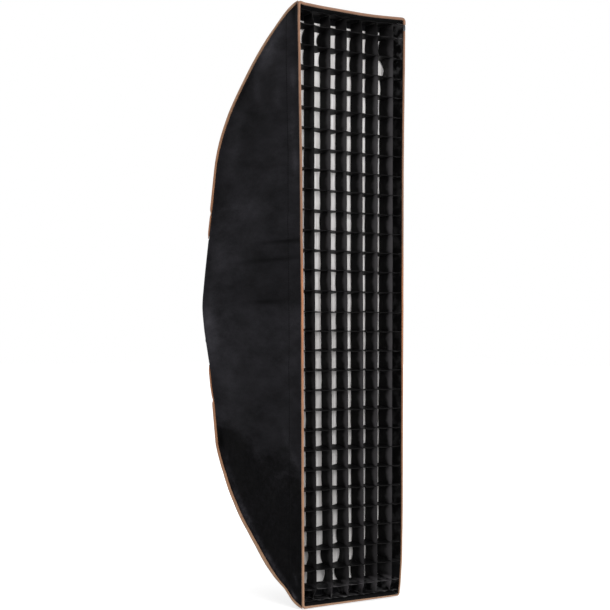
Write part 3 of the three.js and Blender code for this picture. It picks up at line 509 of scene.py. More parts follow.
# Creases of the side cloth, as photographed: height at the open front, rise per millimetre on the way back,
# depth, width, and the distances from the open front at which each starts and ends
CREASES = ((128, -0.02, 2.6, 3.0, 2, 190), (90, 0.03, 1.6, 3.5, 2, 120), (-215, 0.04, 0.45, 4.0, 20, 330),
           (335, 0.05, 0.4, 4.0, 10, 250), (505, 0.45, 0.9, 7.0, 4, 90), (430, 0.5, 0.6, 8.0, 4, 120),
           (-520, -0.4, 0.8, 7.0, 4, 90))
# Painted light and shade on the side cloth, as photographed: distance from the open front, height, half
# length, half width, lean from upright and how much lighter (above 0) or darker (below 0) the cloth is painted there
PAINTED_SHADING_PLACES = ((18, 590, 45, 9, 0.1, -0.75), (105, 540, 62, 26, -0.75, 1.5), (82, 418, 20, 16, 0, 1.0),
          (168, 446, 26, 15, 0.3, 0.8), (22, 448, 16, 12, 0, 1.2), (28, 350, 34, 14, 0, 0.9),
          (20, 282, 26, 10, 0, 0.9), (250, 330, 60, 26, -0.35, 0.6), (270, 205, 12, 95, 0, 0.5),
          (300, 80, 90, 75, 0, 0.6),
          (45, 127, 4.0, 80, 0, -0.9), (110, 92, 4.5, 120, 0.02, -0.7), (130, 7, 4.5, 50, 0, -0.8),
          (355, -45, 55, 28, 0, 1.4), (290, -150, 90, 50, 0.1, 0.6), (35, -300, 30, 10, 0.7, 0.6),
          (60, -262, 26, 10, 0.6, 0.5), (25, -545, 10, 5, 0.5, 4), (28, -585, 9, 5, 0.4, 4))
# The painted highlight along the low seam: how strong it is at these heights, its distance from the seam and its
# width
SEAM_HIGHLIGHT = ((-600, 0), (-545, 6), (-430, 4.5), (-335, 3), (-290, 0), (600, 0))
HIGHLIGHT_FROM_SEAM, HIGHLIGHT_WIDTH = 17.0, 13.0
BARE_Z, BARE_HALF, BARE_OUT = 581, 8.5, 4.0  # bare cloth that shows where the ends of the rim's piping meet
ROD_RIDGE, RIDGE_WIDTH, RIDGE_HIGH = 9, 7, 2.0  # how the rod shows under the cloth

PANEL_ROWS, PANEL_COLUMNS, HELD = 150, 60, 45.0  # held flat this near a seam
heights = np.linspace(0, PANEL_TOP, PANEL_ROWS)
for side, sign, seed in (("left", -1, 11), ("right", 1, 29)):
    for level, up in LEVELS:
        z = (up * heights)[:, None]
        far = wall_distance(np.interp(heights, back_z[::-1], back_y[::-1]))[:, None]
        share = np.linspace(0, 1, PANEL_COLUMNS)[None, :]
        near = PIPED_EDGE * np.ones_like(far)
        if (level, side) == ("upper", "right"):
            near = PIPED_EDGE - BARE_OUT * np.exp(-(((heights - BARE_Z) / BARE_HALF) ** 4))[:, None]
        u = near + (far - near) * share
        held = smooth((u - PIPED_EDGE) / HELD) * smooth((far - u) / HELD)
        slack = (1.6 * ripples(u, z, seed, 260) + 0.55 * ripples(u, z, seed + 1, 90)
                 + 0.35 * ripples(u, z, seed + 2, 34, lean=1.35) * smooth(1.3 - u / 160))
        folds = sum(crease(u, z, *values) for values in CREASES)
        inset = (slack + folds) * held + 0.25 * bell(u, STITCH_LINE, STITCH_PUCKER) * held
        inset = inset - RIDGE_HIGH * bell(far - u, ROD_RIDGE, RIDGE_WIDTH) * smooth((u - 40) / 30)
        panel = cloth("side_cloth_%s_%s" % (level, side), [(on_wall(sign, u, z, inset), (u, z))], CLOTH,
                      (sign, 0, 0), satin_nylon, silver_lining)
        # Painted light and shade: a highlight along the low seam and lighter and darker patches and lines, kept as a
        # point attribute that scales the cloth's colour
        painted_shading = 1 + np.interp(z, *zip(*SEAM_HIGHLIGHT)) * bell(far - u, HIGHLIGHT_FROM_SEAM, HIGHLIGHT_WIDTH)
        for at, height, tall, wide, lean, amount in PAINTED_SHADING_PLACES:
            rise, run = z - height, u - at
            along, across = rise * math.cos(lean) + run * math.sin(lean), run * math.cos(lean) - rise * math.sin(lean)
            painted_shading = painted_shading * (1 + amount * np.exp(-(along / tall) ** 2 - (across / wide) ** 2))
        mark = panel.data.attributes.new("painted_shading", "FLOAT", "POINT")
        mark.data.foreach_set("value", np.tile(np.broadcast_to(painted_shading, u.shape).ravel(), 2).astype(np.float32))
        fold_with_arms(panel, "side_panel_" + side)

# End panels and rear flaps: the bowed walls above and below, of the same nylon, stretched over the two rods
# of their level, and below the rods' hinges a plain flap with a round cut that clears the hub.
# The same woven nylon for both, near black, a little paler where it is rubbed and without stitches
fine_nylon = woven("end_wall_nylon", "#0a0a0b", "#302f33", (0.42, 0.62))
flap_nylon = woven("flap_nylon", "#0c0c0d", "#2a292c", (0.45, 0.62))
FLAP_ROUND, FLAP_LOW, FLAP_Y = 112.0, 80.2, -26.0
CUT_INSET, FLAP_INSET, HEM_INSET = 1.05, 2.4, 3.5
END_ROWS, END_COLUMNS = 120, 44


def on_end(up, lengths, x_share, inset, side_inset):
    """Points of an end wall, at lengths along the seam and shares of the width from -1 to 1."""
    y, z = along_seam(lengths, 0.0)
    inner_y, inner_z = along_seam(lengths, 1.0)
    toward_y, toward_z = inner_y - y, inner_z - z
    y, z = y[:, None] + toward_y[:, None] * inset, z[:, None] + toward_z[:, None] * inset
    x = x_share[None, :] * (half_width(y) - side_inset * WALL_LEAN)
    return x, y, up * z


for level, up, seed in (("upper", 1, 41), ("lower", -1, 57)):
    lengths = np.linspace(PIPED_EDGE, rear_length, END_ROWS)
    share = np.linspace(-1, 1, END_COLUMNS)
    travel = lengths[:, None]
    width = share[None, :] * 140
    held = smooth((1 - np.abs(share[None, :])) / 0.3) * smooth(travel / 50) * smooth((rear_length - travel) / 50)
    inset = held * (1.2 + 1.3 * ripples(width, travel, seed, 200) + 0.5 * ripples(width, travel, seed + 1, 70)
                    + 0.4 * ripples(width, travel, seed + 2, 30, lean=0.1))
    inset = inset + 0.5 * bell(travel, STITCH_LINE, STITCH_PUCKER) * smooth((1 - np.abs(share[None, :])) / 0.05)
    panel = cloth("end_cloth_" + level, [(on_end(up, lengths, share, inset, PIPED_EDGE), (travel, width))], CLOTH,
                  (0, 0.5, up), fine_nylon, silver_lining)
    wide = 2 * (half_width(along_seam(lengths)[0]) - PIPED_EDGE)
    hang(panel, "arm_%s_left" % level, "black_nylon", "end_panel_" + level)

    share = np.linspace(-1, 1, 41)
    top = REAR_HEIGHT - CLEARANCE
    x = share * (half_width(FLAP_Y) - CUT_INSET)
    low = np.maximum(np.sqrt(np.maximum(FLAP_ROUND ** 2 - x ** 2, 0)), FLAP_LOW)
    z = low[None, :] + (top - low)[None, :] * np.linspace(0, 1, 16)[:, None]
    y = -BACK_SLOPE * z + 0.6 * ripples(x[None, :], z, seed + 3, 45) * smooth((top - z) / 12)
    wide = share[None, :] * (half_width(-BACK_SLOPE * z) - FLAP_INSET)
    flap = cloth("flap_cloth_" + level, [((wide, y, up * z), (x[None, :], z))], CLOTH, (0, 1, 0), flap_nylon,
                 silver_lining)
    hang(flap, "arm_%s_left" % level, "black_nylon", "rear_flap_" + level)
    hem_path = np.stack([share * (half_width(-BACK_SLOPE * low) - HEM_INSET), -BACK_SLOPE * low, up * low], 1)
    hem = tube("flap_hem_" + level, hem_path, 1.5, webbing, sides=10)
    hang(hem, "arm_%s_left" % level, "black_nylon")

# Piping: copper-coloured grosgrain tape folded over a cord and sewn into the seams between the side and end
# panels, and round the rim of the open front, where its ends are turned under at the right corners.
# Grosgrain tape: copper-coloured, with cross ribs that catch the light, paler towards the ends of the box and
# darker round the rim, more so in its upper half
piping_tape, add, place = new_material("copper_grosgrain_tape")
RIB = 2.2 * MM  # drawn coarse, as real ribs of 0.7 mm don't show
parts = add("SeparateXYZ", place["UV"]).outputs
ribs = add("TexWave", place["UV"], bands_direction="X", Scale=WAVE / RIB, Distortion=0.4)
level_of = add("SeparateXYZ", place["Object"]).outputs
away = add("Math", level_of["Z"], operation="ABSOLUTE")
pale = add("MapRange", away, 0.1, 0.5)
tint = add("Mix", pale, colour("#b0744d"), colour("#b58c6c"), data_type="RGBA")
# Darker round the rim, away from the middle height and more so in its upper half
rim = add("MapRange", level_of["Y"], -0.362, -0.37)
tone_shift = add("MapRange", away, 0.06, 0.14)
tone_shift = add("Math", tone_shift, rim, operation="MULTIPLY")
higher = add("MapRange", level_of["Z"], -0.1, 0.1, 0.4)
tone_shift = add("Math", tone_shift, higher, operation="MULTIPLY")
tint = add("Mix", tone_shift, tint, colour("#8e664c"), data_type="RGBA")
cloud = add("TexNoise", place["Object"], Scale=1 / (18 * MM), Detail=4.0)
shade = add("MapRange", cloud, 0.3, 0.7, 0.82, 1.1)
deep = add("MapRange", ribs, To_Min=0.78, To_Max=1.06)
shade = add("Math", shade, deep, operation="MULTIPLY")
tint = add("Mix", 1.0, tint, shade, data_type="RGBA", blend_type="MULTIPLY")
relief = add("Bump", Height=ribs, Strength=0.5, Distance=0.3 * MM)
shader = add("BsdfPrincipled", Base_Color=tint, Roughness=0.62, Sheen_Weight=0.15, Sheen_Roughness=0.5, Normal=relief)
add("OutputMaterial", Surface=shader)

PIPING, RIM_CORNER, RIM_RETURN = 2.9, 6.0, 6.0
CORD_HIGH, CORD_SHORT = 588.2, 575.0  # the right rim's cord stops short of the bare cloth near its top
OVERLAP_Z = 198.0  # where two lengths of the seam's piping are cut, pinched and overlapped
OUTSIDE = 1.2  # how far the seam's piping stands out from the two walls
WIDTH_Z = (200, 300, 400, 535, 572)  # the heights of the widths, as half widths
BOW_WIDTHS = {1: (3.4, 3.4, 4.1, 4.0, 2.8), -1: (3.7, 4.0, 4.8, 4.6, 2.7)}
for corner, mirror in CORNERS:
    piping_end = rear_length + (0 if mirror[2] > 0 else 20)
    bow_lengths = np.linspace(2.0 if mirror[0] < 0 else 8.0, piping_end, 180)
    bow_y, bow_z = along_seam(bow_lengths, -OUTSIDE)
    radius = np.interp(bow_z, WIDTH_Z, BOW_WIDTHS[mirror[2]]) * (1 - 0.35 * smooth((OVERLAP_Z + 6 - bow_z) / 12))
    radius = radius * (0.55 + 0.45 * smooth(bow_lengths / 16)) * (1 - 0.6 * bell(bow_z, OVERLAP_Z, 5))
    radius = radius * (0.3 + 0.7 * smooth((piping_end - bow_lengths) / 14))
    path = np.stack([half_width(bow_y) + OUTSIDE, bow_y, bow_z], 1)
    piping = tube("bow_piping_" + corner, path * mirror, radius, piping_tape, sides=14)
    hang(piping, "arm_" + corner, "copper_piping", "seam_piping_" + corner)

arc = np.radians(np.linspace(0, 90, 10))
corner_x = HALF_OPENING - RIM_CORNER + RIM_CORNER * np.cos(arc)
corner_z = 600 - RIM_CORNER + RIM_CORNER * np.sin(arc)
lead_z = np.linspace(600 - RIM_CORNER - RIM_RETURN, 600 - RIM_CORNER, 4)[:-1]
half_x = np.concatenate([np.full(3, HALF_OPENING), corner_x, np.linspace(HALF_OPENING - RIM_CORNER, 0, 40)[1:]])
half_z = np.concatenate([lead_z, corner_z, np.full(39, 600.0)])
for level, up in LEVELS:
    x = np.concatenate([half_x, -half_x[::-1][1:]])
    z = up * np.concatenate([half_z, half_z[::-1][1:]])
    path = np.stack([x, np.full(len(x), FRONT_Y), z], 1)
    radius = PIPING if up > 0 else np.interp(x, (-150, -120, 150), (2.7, 2.2, 1.5))
    piping = tube("rim_cord_" + level, path, radius, piping_tape, sides=14)
    hang(piping, "arm_%s_left" % level, "copper_piping", "rim_piping_" + level)
    for side, sign in SIDES:
        z = up * np.linspace(0, CORD_SHORT if (level, side) == ("upper", "right") else CORD_HIGH, 150)
        path = np.stack([sign * HALF_OPENING + 0.35 * ripples(z, 0 * z, 71 + sign, 120), FRONT_Y + 0 * z, z], 1)
        radius = np.full(150, 2.5) if sign < 0 else np.interp(z, (-600, -350, 600), (1.6, 2.0, 2.3))
        radius = radius * (1 + 0.06 * ripples(z, 0 * z, 75 + sign, 60))
        piping = tube("rim_cord_%s_%s" % (level, side), path, radius, piping_tape, sides=14)
        fold_with_arms(piping, "rim_piping_" + side)

# Front bands: black loop tape sewn to the inside of the open front, which the grid and the front diffuser
# are pressed onto.
# Loop tape: a mat of tiny black loops, which looks fuzzy and swallows the light
loop_tape, add, place = new_material("loop_tape")
fuzz = add("TexNoise", place["UV"], Scale=1 / (0.8 * MM), Detail=5.0, Roughness=0.7)
tint = add("Mix", fuzz, colour("#0b0b0c"), colour("#1b1b1c"), data_type="RGBA")
relief = add("Bump", Height=fuzz, Strength=0.9, Distance=0.4 * MM)
shader = add("BsdfPrincipled", Base_Color=tint, Roughness=0.95, Sheen_Weight=0.01,
             Specular_IOR_Level=0.04, Normal=relief)
add("OutputMaterial", Surface=shader)

BAND, BAND_INSET, BAND_WIDTH = 1.2, 1.05, 46.0
BAND_MIDDLE, BAND_GAP = BAND_INSET + BAND / 2, 0.7
for side, sign in SIDES:
    for level, up in LEVELS:
        rise = np.linspace(0, PANEL_TOP - 1.3, 120)
        far = np.minimum(wall_distance(np.interp(rise, back_z[::-1], back_y[::-1])) - 4, BAND_WIDTH)[:, None]
        u = PIPED_EDGE + (far - PIPED_EDGE) * np.linspace(0, 1, 10)[None, :]
        z = (up * rise)[:, None]
        ruffle = 0.3 * ripples(u, z, 83 + sign, 40) * smooth((600 - abs(z)) / 60)
        band = cloth("side_band_%s_%s" % (level, side), [(on_wall(sign, u, z, BAND_MIDDLE + ruffle), (u, z))], BAND,
                     (-sign, 0, 0), loop_tape)
        fold_with_arms(band, "front_band_" + side)
for level, up in LEVELS:
    lengths = np.linspace(PIPED_EDGE, BAND_WIDTH, 10)
    share = np.linspace(-1, 1, 60)
    ruffle = 0.4 * ripples(lengths[:, None], share[None, :] * 145, 91 + up, 30)
    rows = on_end(up, lengths, share, BAND_MIDDLE + ruffle, PIPED_EDGE + BAND_GAP)
    spread = lengths[:, None], share[None, :] * 145
    band = cloth("end_band_" + level, [(rows, spread)], BAND, (0, 0, -up), loop_tape)
    hang(band, "arm_%s_left" % level, "loop_band", "front_band_" + level)

# Inner baffle: a sheet of white diffusion cloth hung inside on four elastic straps, which spreads the light
# of the lamp before it reaches the front.
# White diffusion cloth: thin and matt, with fine upright pleats whose folds are painted darker as shade, and painted
# shade that greys it low down, as light falls from above
white_cloth, add, place = new_material("white_diffusion_cloth")
stretched = add("Mapping", place["UV"], Scale=(1.0, 0.025, 1.0))
pleats = add("TexNoise", stretched, Scale=1 / (5.5 * MM), Detail=2.5, Roughness=0.6)
# Painted shade in the pleats: their folds are darker lines in the colour
line = add("MapRange", pleats, 0.38, 0.62)
tint = add("Mix", line, colour("#d6d2d0"), colour("#f1efee"), data_type="RGBA")
height = add("SeparateXYZ", place["Object"]).outputs
# Painted shade: greyer towards the bottom, as light falls from above
painted_low_shade = add("MapRange", height["Z"], -0.25, 0.3, 0.68)
tint = add("Mix", 1.0, tint, painted_low_shade, data_type="RGBA", blend_type="MULTIPLY")
relief = add("Bump", Height=pleats, Strength=0.6, Distance=1.2 * MM)
shader = add("BsdfPrincipled", Base_Color=tint, Roughness=0.8, Sheen_Weight=0.1, Normal=relief)
add("OutputMaterial", Surface=shader)

# Elastic: matt black tape with faint lines across it
elastic, add, place = new_material("black_elastic")
ribs = add("TexWave", place["UV"], bands_direction="X", Scale=WAVE / (1.2 * MM))
tint = add("Mix", ribs, colour("#131314"), colour("#29292c"), data_type="RGBA")
relief = add("Bump", Height=ribs, Strength=0.5, Distance=0.2 * MM)
shader = add("BsdfPrincipled", Base_Color=tint, Roughness=0.8, Sheen_Weight=0.15, Normal=relief)
add("OutputMaterial", Surface=shader)

BAFFLE_Y, BAFFLE_WIDE, BAFFLE_HIGH = -187.4, 94.5, 445.0
STRAP_X, STRAP_Y, STRAP_Z = (66.5, 78.5), -187.5, (445.3, 484.0)
for level, up in LEVELS:
    x = np.linspace(-BAFFLE_WIDE, BAFFLE_WIDE, 40)[None, :]
    z = up * np.linspace(0, BAFFLE_HIGH, 90)[:, None]
    pull = smooth((BAFFLE_WIDE - np.abs(x)) / 30) * smooth((BAFFLE_HIGH - np.abs(z)) / 40)
    y = BAFFLE_Y + (1.5 * ripples(x, z, 5, 110) + 0.6 * ripples(x, z, 6, 40)) * pull
    baffle = cloth("baffle_cloth_" + level, [((x, y, z), (x, z))], 1.2, (0, -1, 0), white_cloth)
    fold_with_arms(baffle, "inner_baffle")
    for side, sign in SIDES:
        x, z = np.linspace(*STRAP_X, 4)[None, :] * sign, up * np.linspace(*STRAP_Z, 16)[:, None]
        strap = cloth("strap_%s_%s" % (level, side), [((x, STRAP_Y, z), (z, x))], 1.0, (0, -1, 0), elastic)
        fold_with_arms(strap, "baffle_strap_%s_%s" % (level, side))

# Front diffuser: white diffusion cloth in a black nylon border, pressed onto the front bands behind the
# grid. It is cut a little wide, so it hangs in fine upright pleats.
# Border nylon: plain woven, deep black and dull
border_nylon = woven("border_nylon", "#070708", "#0e0e10", (0.5, 0.7), shine=0.06)
DIFFUSER_Y, SHEET_WIDE = -343.6, 125.4
BORDER_WIDE, BORDER_HIGH = 140.7, 585.1
for level, up in LEVELS:
    sheet_high = 572.5 if up > 0 else 559.5
    x = np.linspace(-SHEET_WIDE, SHEET_WIDE, 140)[None, :]
    z = up * np.linspace(0, sheet_high, 120)[:, None]
    pull = smooth((SHEET_WIDE - np.abs(x)) / 12) * smooth((sheet_high - np.abs(z)) / 15)
    y = DIFFUSER_Y + (0.45 * ripples(x + 2 * ripples(z, 0 * z, 9, 300), 0 * z, 7, 11, waves=14, lean=0.0)
                      + 0.4 * ripples(x, z, 8, 90)) * pull
    front = cloth("diffuser_cloth_" + level, [((x, y, z), (x, z))], 0.6, (0, -1, 0), white_cloth)
    fold_with_arms(front, "front_diffuser")
    patches = []
    for sign in (-1, 1):
        x = sign * np.linspace(SHEET_WIDE + CLEARANCE, BORDER_WIDE, 6)[None, :]
        z = up * np.linspace(0, BORDER_HIGH, 90)[:, None]
        patches.append(((x, DIFFUSER_Y + 0.3 * ripples(x, z, 15, 25), z), (x, z)))
    x = np.linspace(-SHEET_WIDE, SHEET_WIDE, 90)[None, :]
    z = up * np.linspace(sheet_high + CLEARANCE, BORDER_HIGH, 10)[:, None]
    patches.append(((x, DIFFUSER_Y + 0.7 * ripples(x, z, 16, 22), z), (x, z)))
    border = cloth("border_cloth_" + level, patches, 1.2, (0, -1, 0), border_nylon)
    fold_with_arms(border, "diffuser_border")

# Egg-crate grid: strips of soft black nylon with bound front edges, slotted and sewn together in 7 columns
# and 30 rows of cells, in a border pressed onto the bands. Unstiffened, the strips bow from cell to cell.
COLUMNS, ROWS, GRID_FRONT, GRID_DEPTH, STRIP, HEM = 7, 30, -377.0, 30.8, 1.0, 8.0
END_CELL_WIDE, END_CELL_HIGH = 33.75, 45.6
column_pitch = (2 * HALF_OPENING - 2 * END_CELL_WIDE) / (COLUMNS - 2)
row_pitch = (1200 - 2 * END_CELL_HIGH) / (ROWS - 2)
UPRIGHT_SLIPS = (0.7, 1.0, 1.7, 1.8, 0.9, 0.6)  # how far the uprights have slipped to the right, as photographed
upright_x = [END_CELL_WIDE - HALF_OPENING + i * column_pitch + UPRIGHT_SLIPS[i] for i in range(COLUMNS - 1)]
cross_z = [END_CELL_HIGH - 600 + i * row_pitch for i in range(ROWS - 1)]

# Grid nylon: matt black. On the uprights U is the depth behind the front edge, with a painted highlight on the
# bound hem, widest between two crossings; the other strips' U starts past the hem, so they stay black all over.
grid_nylon, add, place = new_material("grid_nylon")
parts = add("SeparateXYZ", place["UV"]).outputs
swell = add("Math", parts["Y"], math.pi / (row_pitch * MM), operation="MULTIPLY")
swell = add("Math", swell, operation="SINE")
swell = add("Math", swell, operation="ABSOLUTE")
blotches = add("TexNoise", place["UV"], Scale=1 / (22 * MM), Detail=2.0)
drift = add("MapRange", blotches, 0.3, 0.7, 0.75, 1.15)
highlight_reach = add("MapRange", swell, To_Min=8.5 * MM, To_Max=12 * MM)
height = add("SeparateXYZ", place["Object"]).outputs
ends = add("Math", height["Z"], operation="ABSOLUTE")
point = add("MapRange", ends, 560 * MM, 588 * MM, 2.3, 0.35)
inner = add("Math", ends, 557 * MM, operation="LESS_THAN")
point = add("Mix", inner, point, 1.0, data_type="FLOAT")
# Painted highlight: the hems in the bottom row, twisted like petals, are lit brighter
petal_highlight = add("MapRange", height["Z"], -556 * MM, -566 * MM, 1.0, 2.1)
for share in (drift, point):
    highlight_reach = add("Math", highlight_reach, share, operation="MULTIPLY")
share = add("Math", parts["X"], highlight_reach, operation="DIVIDE")
# Painted highlight on the bound hem, reaching back from the front edge
painted_hem_highlight = add("MapRange", share, 1.45, 0.45, interpolation_type="SMOOTHSTEP")
front = add("MapRange", parts["X"], 0.1 * MM, 0.6 * MM)
# The painted hem highlight is dimmer near the top, lower down and at the far left, and brighter again in the bottom
# row
below_top = add("MapRange", height["Z"], 560 * MM, 480 * MM, 0.2)
above_low = add("MapRange", height["Z"], -560 * MM, -340 * MM, 0.45)
inward = add("MapRange", height["X"], -120 * MM, -80 * MM, 0.4)
for share in (front, below_top, above_low, inward, petal_highlight):
    painted_hem_highlight = add("Math", painted_hem_highlight, share, operation="MULTIPLY")
weave = add("TexNoise", place["UV"], Scale=1 / (1.2 * MM), Detail=3.0)
tint = add("Mix", blotches, colour("#050505"), colour("#0b0a0b"), data_type="RGBA")
hem_highlight_colour = add("MapRange", petal_highlight, 1.0, 2.1)
hem_highlight_colour = add("Mix", hem_highlight_colour, colour("#474547"), colour("#5a575a"), data_type="RGBA")
tint = add("Mix", painted_hem_highlight, tint, hem_highlight_colour, data_type="RGBA")
# Painted sheen: the crumpled cloth of the bottom row and of the top right corner is paler in patches
folds = add("TexNoise", place["Object"], Scale=1 / (15 * MM), Detail=3.0)
folds = add("MapRange", folds, 0.46, 0.66)
near_low = add("MapRange", height["Z"], -552 * MM, -575 * MM)
near_top = add("MapRange", height["Z"], 430 * MM, 530 * MM, 0.2)
at_right = add("MapRange", height["X"], 112 * MM, 124 * MM)
corner_cloth = add("Math", near_top, at_right, operation="MULTIPLY")
painted_fold_sheen = add("Math", near_low, corner_cloth, operation="MAXIMUM")
painted_fold_sheen = add("Math", painted_fold_sheen, folds, operation="MULTIPLY")
tint = add("Mix", painted_fold_sheen, tint, colour("#4b4a4b"), data_type="RGBA")
relief = add("Bump", Height=weave, Strength=0.3, Distance=0.15 * MM)
shader = add("BsdfPrincipled", Base_Color=tint, Roughness=0.5, Specular_IOR_Level=0.08, Normal=relief)
add("OutputMaterial", Surface=shader)

GRID_HIGH, NO_HEM = 586.4, 20.0
CROSS_LENGTH, WALL_STACK = 283.0, 2.9
END_TWIST = {"upper": (-4, -1), "lower": (-9, -1)}
depths = np.array([0, 1.5, 3.5, 5.5, 8, 11, 15, 20, 26, GRID_DEPTH])
cell_steps = np.linspace(0, 1, 10)
# The loose end rows as photographed: how far the back edge of each upright, from the left, bows to the right
BACK_BOWS = {("upper", 1): (-4, -9, -1.5, -3, -1.5, -5), ("upper", 2): (-3.5, -3, 0.5, -2, 0.5, 11),
             ("upper", 3): (0, -0.5, -1, 1, -1, 3), ("lower", 1): (3, 7, -9, -5, 1, -9),
             ("lower", 2): (6, -4.5, 6, 3, 2.5, -7), ("lower", 3): (2, 1, -3, 1.5, 1, -2)}
# How far the back edges of the six uprights stand to the right of their places
BACK_LEAN = {"upper": (-1.8, -0.9, -0.6, -0.6, -1.2, -2.0), "lower": (-1.5, 0, -1.2, -2.1, 0.2, -2.2)}
# How far the rows have slipped up or down from their even places, at these heights
ROW_SLUMP = ((-588, 0), (-555, -12), (-515, -13.6), (-356, -14), (-198, -13.6), (-40, -13), (0, -13), (79, -8.2),
             (158, -8.2), (198, -7.8), (238, -6.4), (277, -5.4), (317, -4), (356, -3), (396, -1.6), (436, 0.3),
             (475, 1.3), (515, 3.2), (554, 6.1), (588, 0))
# How far the back edges of the cross strips hang below their front edges, at these heights
BACK_DROP = ((-588, -7), (-515, -6.5), (-440, -4.5), (-366, -3.7), (-330, -6), (-290, -5.2), (-209, -4), (-130, -4),
             (-60, -3.5), (-14, -3), (26, 2.7), (68, 4), (108, 3.8), (148, 3.2), (190, 2.6), (270, 2.2), (390, 3),
             (430, 3), (470, 4.2), (512, 4.2), (553, 5.8), (588, 5))


def wall_x(y):
    return half_width(y) - WALL_STACK * WALL_LEAN


def toward_hub(depth):
    """How much the grid narrows this far behind its front edge, as the walls lean in."""
    return 1 - depth * NECK_TAPER / HALF_OPENING


def upright_patch(x, low, high, lean, back_bow, front_bow, twist):
    """One cell of an upright strip, leaning to one side and bowed at its edges between the crossings."""
    swell = np.sin(math.pi * cell_steps)[:, None]
    depth = depths[None, :]
    back = back_bow * swell * smooth((depth - HEM) / (GRID_DEPTH - HEM)) + lean * depth / GRID_DEPTH
    ahead = np.clip(1 - depth / (HEM + 3), 0, 1) ** 1.3
    front = (front_bow * swell ** 0.6 + twist * smooth(cell_steps[:, None] / 0.8)) * ahead
    z = (low + (high - low) * cell_steps)[:, None]
    hang = np.interp(z, *zip(*BACK_DROP)) * depth / GRID_DEPTH
    return (x * toward_hub(depth) + back + front, GRID_FRONT + depth, z - hang), (depth, z)


def cross_patch(left, right, z, tips, sag_front, sag_back):
    """One cell of a cross strip, hanging a little between the uprights; its ends reach the leaning walls."""
    swell = np.sin(math.pi * cell_steps)[:, None]
    depth = depths[None, :]
    y = GRID_FRONT + depth
    low_x = -wall_x(y) if left is None else left * toward_hub(depth)
    high_x = wall_x(y) if right is None else right * toward_hub(depth)
    x = low_x + (high_x - low_x) * cell_steps[:, None]
    tip = np.interp(z, *zip(*BACK_DROP)) + tips[0] + (tips[1] - tips[0]) * cell_steps[:, None]
    drop = sag_front * swell + ((sag_back - sag_front) * swell + tip) * depth / GRID_DEPTH
    return (x, y, z - drop), (depth + NO_HEM, x)


source = np.random.default_rng(20)
for level, up in LEVELS:
    patches = []
    levels = sorted(abs(z) for z in cross_z if z * up >= -0.01) + [GRID_HIGH]
    for column, x in enumerate(upright_x):
        for row, (low, high) in enumerate(zip(levels[:-1], levels[1:])):
            from_end = len(levels) - 2 - row
            bow = BACK_BOWS.get((level, from_end), (0,) * 6)[column] + source.normal(0, 0.6)
            lean = np.interp((low + high) / 2, (0, 100), (np.mean([BACK_LEAN[k][column] for k in BACK_LEAN]),
                                                          BACK_LEAN[level][column]))
            twist = source.uniform(*END_TWIST[level]) if from_end == 0 else 0.0
            patches.append(upright_patch(x, up * low, up * high, lean, bow, source.uniform(0.3, 1.0), twist))
    for row, z in enumerate(levels[:-1]):
        if z < 0.01 and up < 0:
            continue
        edges = [None, *upright_x, None]
        tips = source.normal(0, 1.3, len(edges))
        for column in range(COLUMNS):
            sag = source.uniform(0.3, 1.8)
            patches.append(cross_patch(edges[column], edges[column + 1], up * z, tips[column:column + 2], sag,
                                       sag + source.uniform(-1.6, 2.8)))
    depth = depths[None, :]
    y = GRID_FRONT + depth
    for sign in (-1, 1):
        z = up * np.linspace(0, GRID_HIGH, 200)[:, None]
        loose = 0.5 + (2.5 * smooth((z - 430) / 90) if sign > 0 else 0)
        x = sign * (wall_x(y) + 0.5 - loose * (1 + ripples(z, depth, 33 + sign, 24)) / 2)
        patches.append(((x, y, z), (depth + NO_HEM, z)))
    share = np.linspace(-1, 1, 160)[:, None]
    x = share * wall_x(y)
    ruffle = 1.6 * ripples(x, depth * 2, 44 + up, 26, waves=7, lean=0.5) * smooth((1 - np.abs(share)) / 0.1)
    patches.append(((x, y, up * (GRID_HIGH + 4 - depth * 0.13 - 2 + ruffle)), (depth + NO_HEM, x)))
    grid = cloth("grid_cloth_" + level, patches, STRIP, (-1, 0, 0), grid_nylon)
    fold_with_arms(grid, "egg_crate_grid", ROW_SLUMP)

# Studio: a pale floor just under the box and a white surround, with a large soft light in front, one above
# and one behind over an even fill.
def seen_directly(add):
    """1 for the rays that show a surface, straight or through a mirror or glass, and 0 for all others."""
    rays = add("LightPath").outputs
    shown = add("Math", rays["Is Camera Ray"], rays["Is Glossy Ray"], operation="MAXIMUM")
    return add("Math", shown, rays["Is Transmission Ray"], operation="MAXIMUM")


white_floor, add, place = new_material("studio_floor")
away = add("VectorMath", place["Object"], operation="LENGTH")
brighter = add("MapRange", away.outputs["Value"], 0.7, 2.2, 0.72)
glow = add("Emission", Color=(1.0, 1.0, 1.0, 1.0), Strength=brighter)
matt = add("BsdfDiffuse", Color=(0.6, 0.6, 0.6, 1.0))
both = add("AddShader", glow, matt)
plain = add("BsdfDiffuse", Color=(0.7, 0.7, 0.7, 1.0))
seen = add("MixShader", seen_directly(add), plain, both)
add("OutputMaterial", Surface=seen)
FLOOR_Z, FLOOR_SIZE = -0.6045, 60
bpy.ops.mesh.primitive_plane_add(size=FLOOR_SIZE, location=(0, 0, FLOOR_Z))
floor = bpy.context.active_object
floor.name = "studio_floor"
floor.data.materials.append(white_floor)

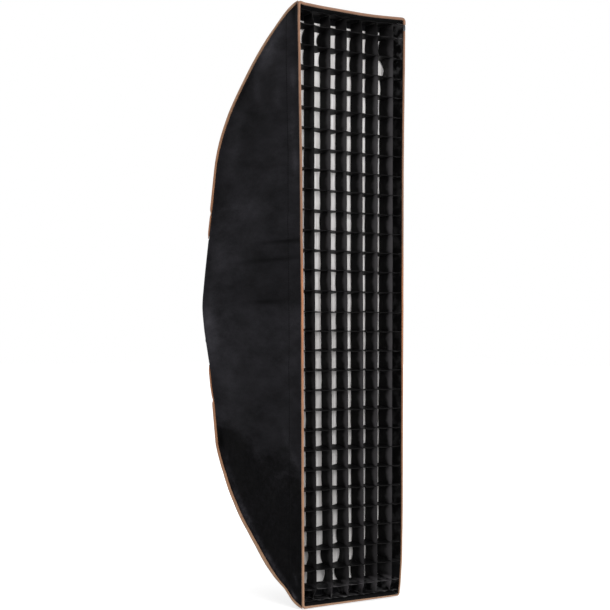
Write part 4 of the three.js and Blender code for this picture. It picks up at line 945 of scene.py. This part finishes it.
world = bpy.data.worlds.new("studio")
bpy.context.scene.world = world
world.use_nodes = True
world.node_tree.nodes.clear()
add = functools.partial(add_node, world)
soft = add("Background", Color=(1.0, 1.0, 1.0, 1.0), Strength=0.4)
white = add("Background", Color=(1.0, 1.0, 1.0, 1.0), Strength=1.0)
seen = add("MixShader", seen_directly(add), soft, white)
add("OutputWorld", Surface=seen)

for name, place, size, power in (("key_light", (-0.6, -3.8, 0.5), 2.2, 95), ("top_light", (-1.6, -1.2, 3.0), 1.8, 30),
                                 ("back_light", (1.9, 2.6, 1.6), 1.8, 40)):
    data = bpy.data.lights.new(name, "AREA")
    data.shape = "SQUARE"
    data.size = size
    data.energy = power
    lamp = bpy.data.objects.new(name, data)
    bpy.context.scene.collection.objects.link(lamp)
    lamp.location = place
    lamp.rotation_mode = "QUATERNION"
    lamp.rotation_quaternion = (-Vector(place)).to_track_quat("-Z", "Y")

# Camera: it stands where the fit to the photographed corners of the open front puts it, 3.9 m from the box
# and a little above its middle, and looks at the box's front left edge.
YAW, PITCH, ROLL = math.radians(-45.28), math.radians(1.05), math.radians(-0.19)
SHIFT, FOCAL_PIXELS, FRAME_PIXELS, SENSOR = (100.1, 3942.0, -0.9), 1937.0, 610.0, 36.0
turn_z = np.array([[math.cos(YAW), -math.sin(YAW), 0], [math.sin(YAW), math.cos(YAW), 0], [0, 0, 1]])
turn_x = np.array([[1, 0, 0], [0, math.cos(PITCH), -math.sin(PITCH)], [0, math.sin(PITCH), math.cos(PITCH)]])
turn_y = np.array([[math.cos(ROLL), 0, math.sin(ROLL)], [0, 1, 0], [-math.sin(ROLL), 0, math.cos(ROLL)]])
axes = turn_z @ turn_x @ turn_y
camera_data = bpy.data.cameras.new("camera")
camera_data.sensor_width = SENSOR
camera_data.lens = FOCAL_PIXELS / FRAME_PIXELS * SENSOR
camera_data.clip_end = 200
camera = bpy.data.objects.new("camera", camera_data)
bpy.context.scene.collection.objects.link(camera)
right, forward, upwards = axes[:, 0], axes[:, 1], axes[:, 2]
stand = -axes @ np.array(SHIFT) + np.array([0, FRONT_Y, 0])
camera.matrix_world = Matrix(
    [(right[k], upwards[k], -forward[k], stand[k] * MM) for k in range(3)] + [(0, 0, 0, 1)])
bpy.context.scene.camera = camera
bpy.context.scene.view_settings.view_transform = "Standard"
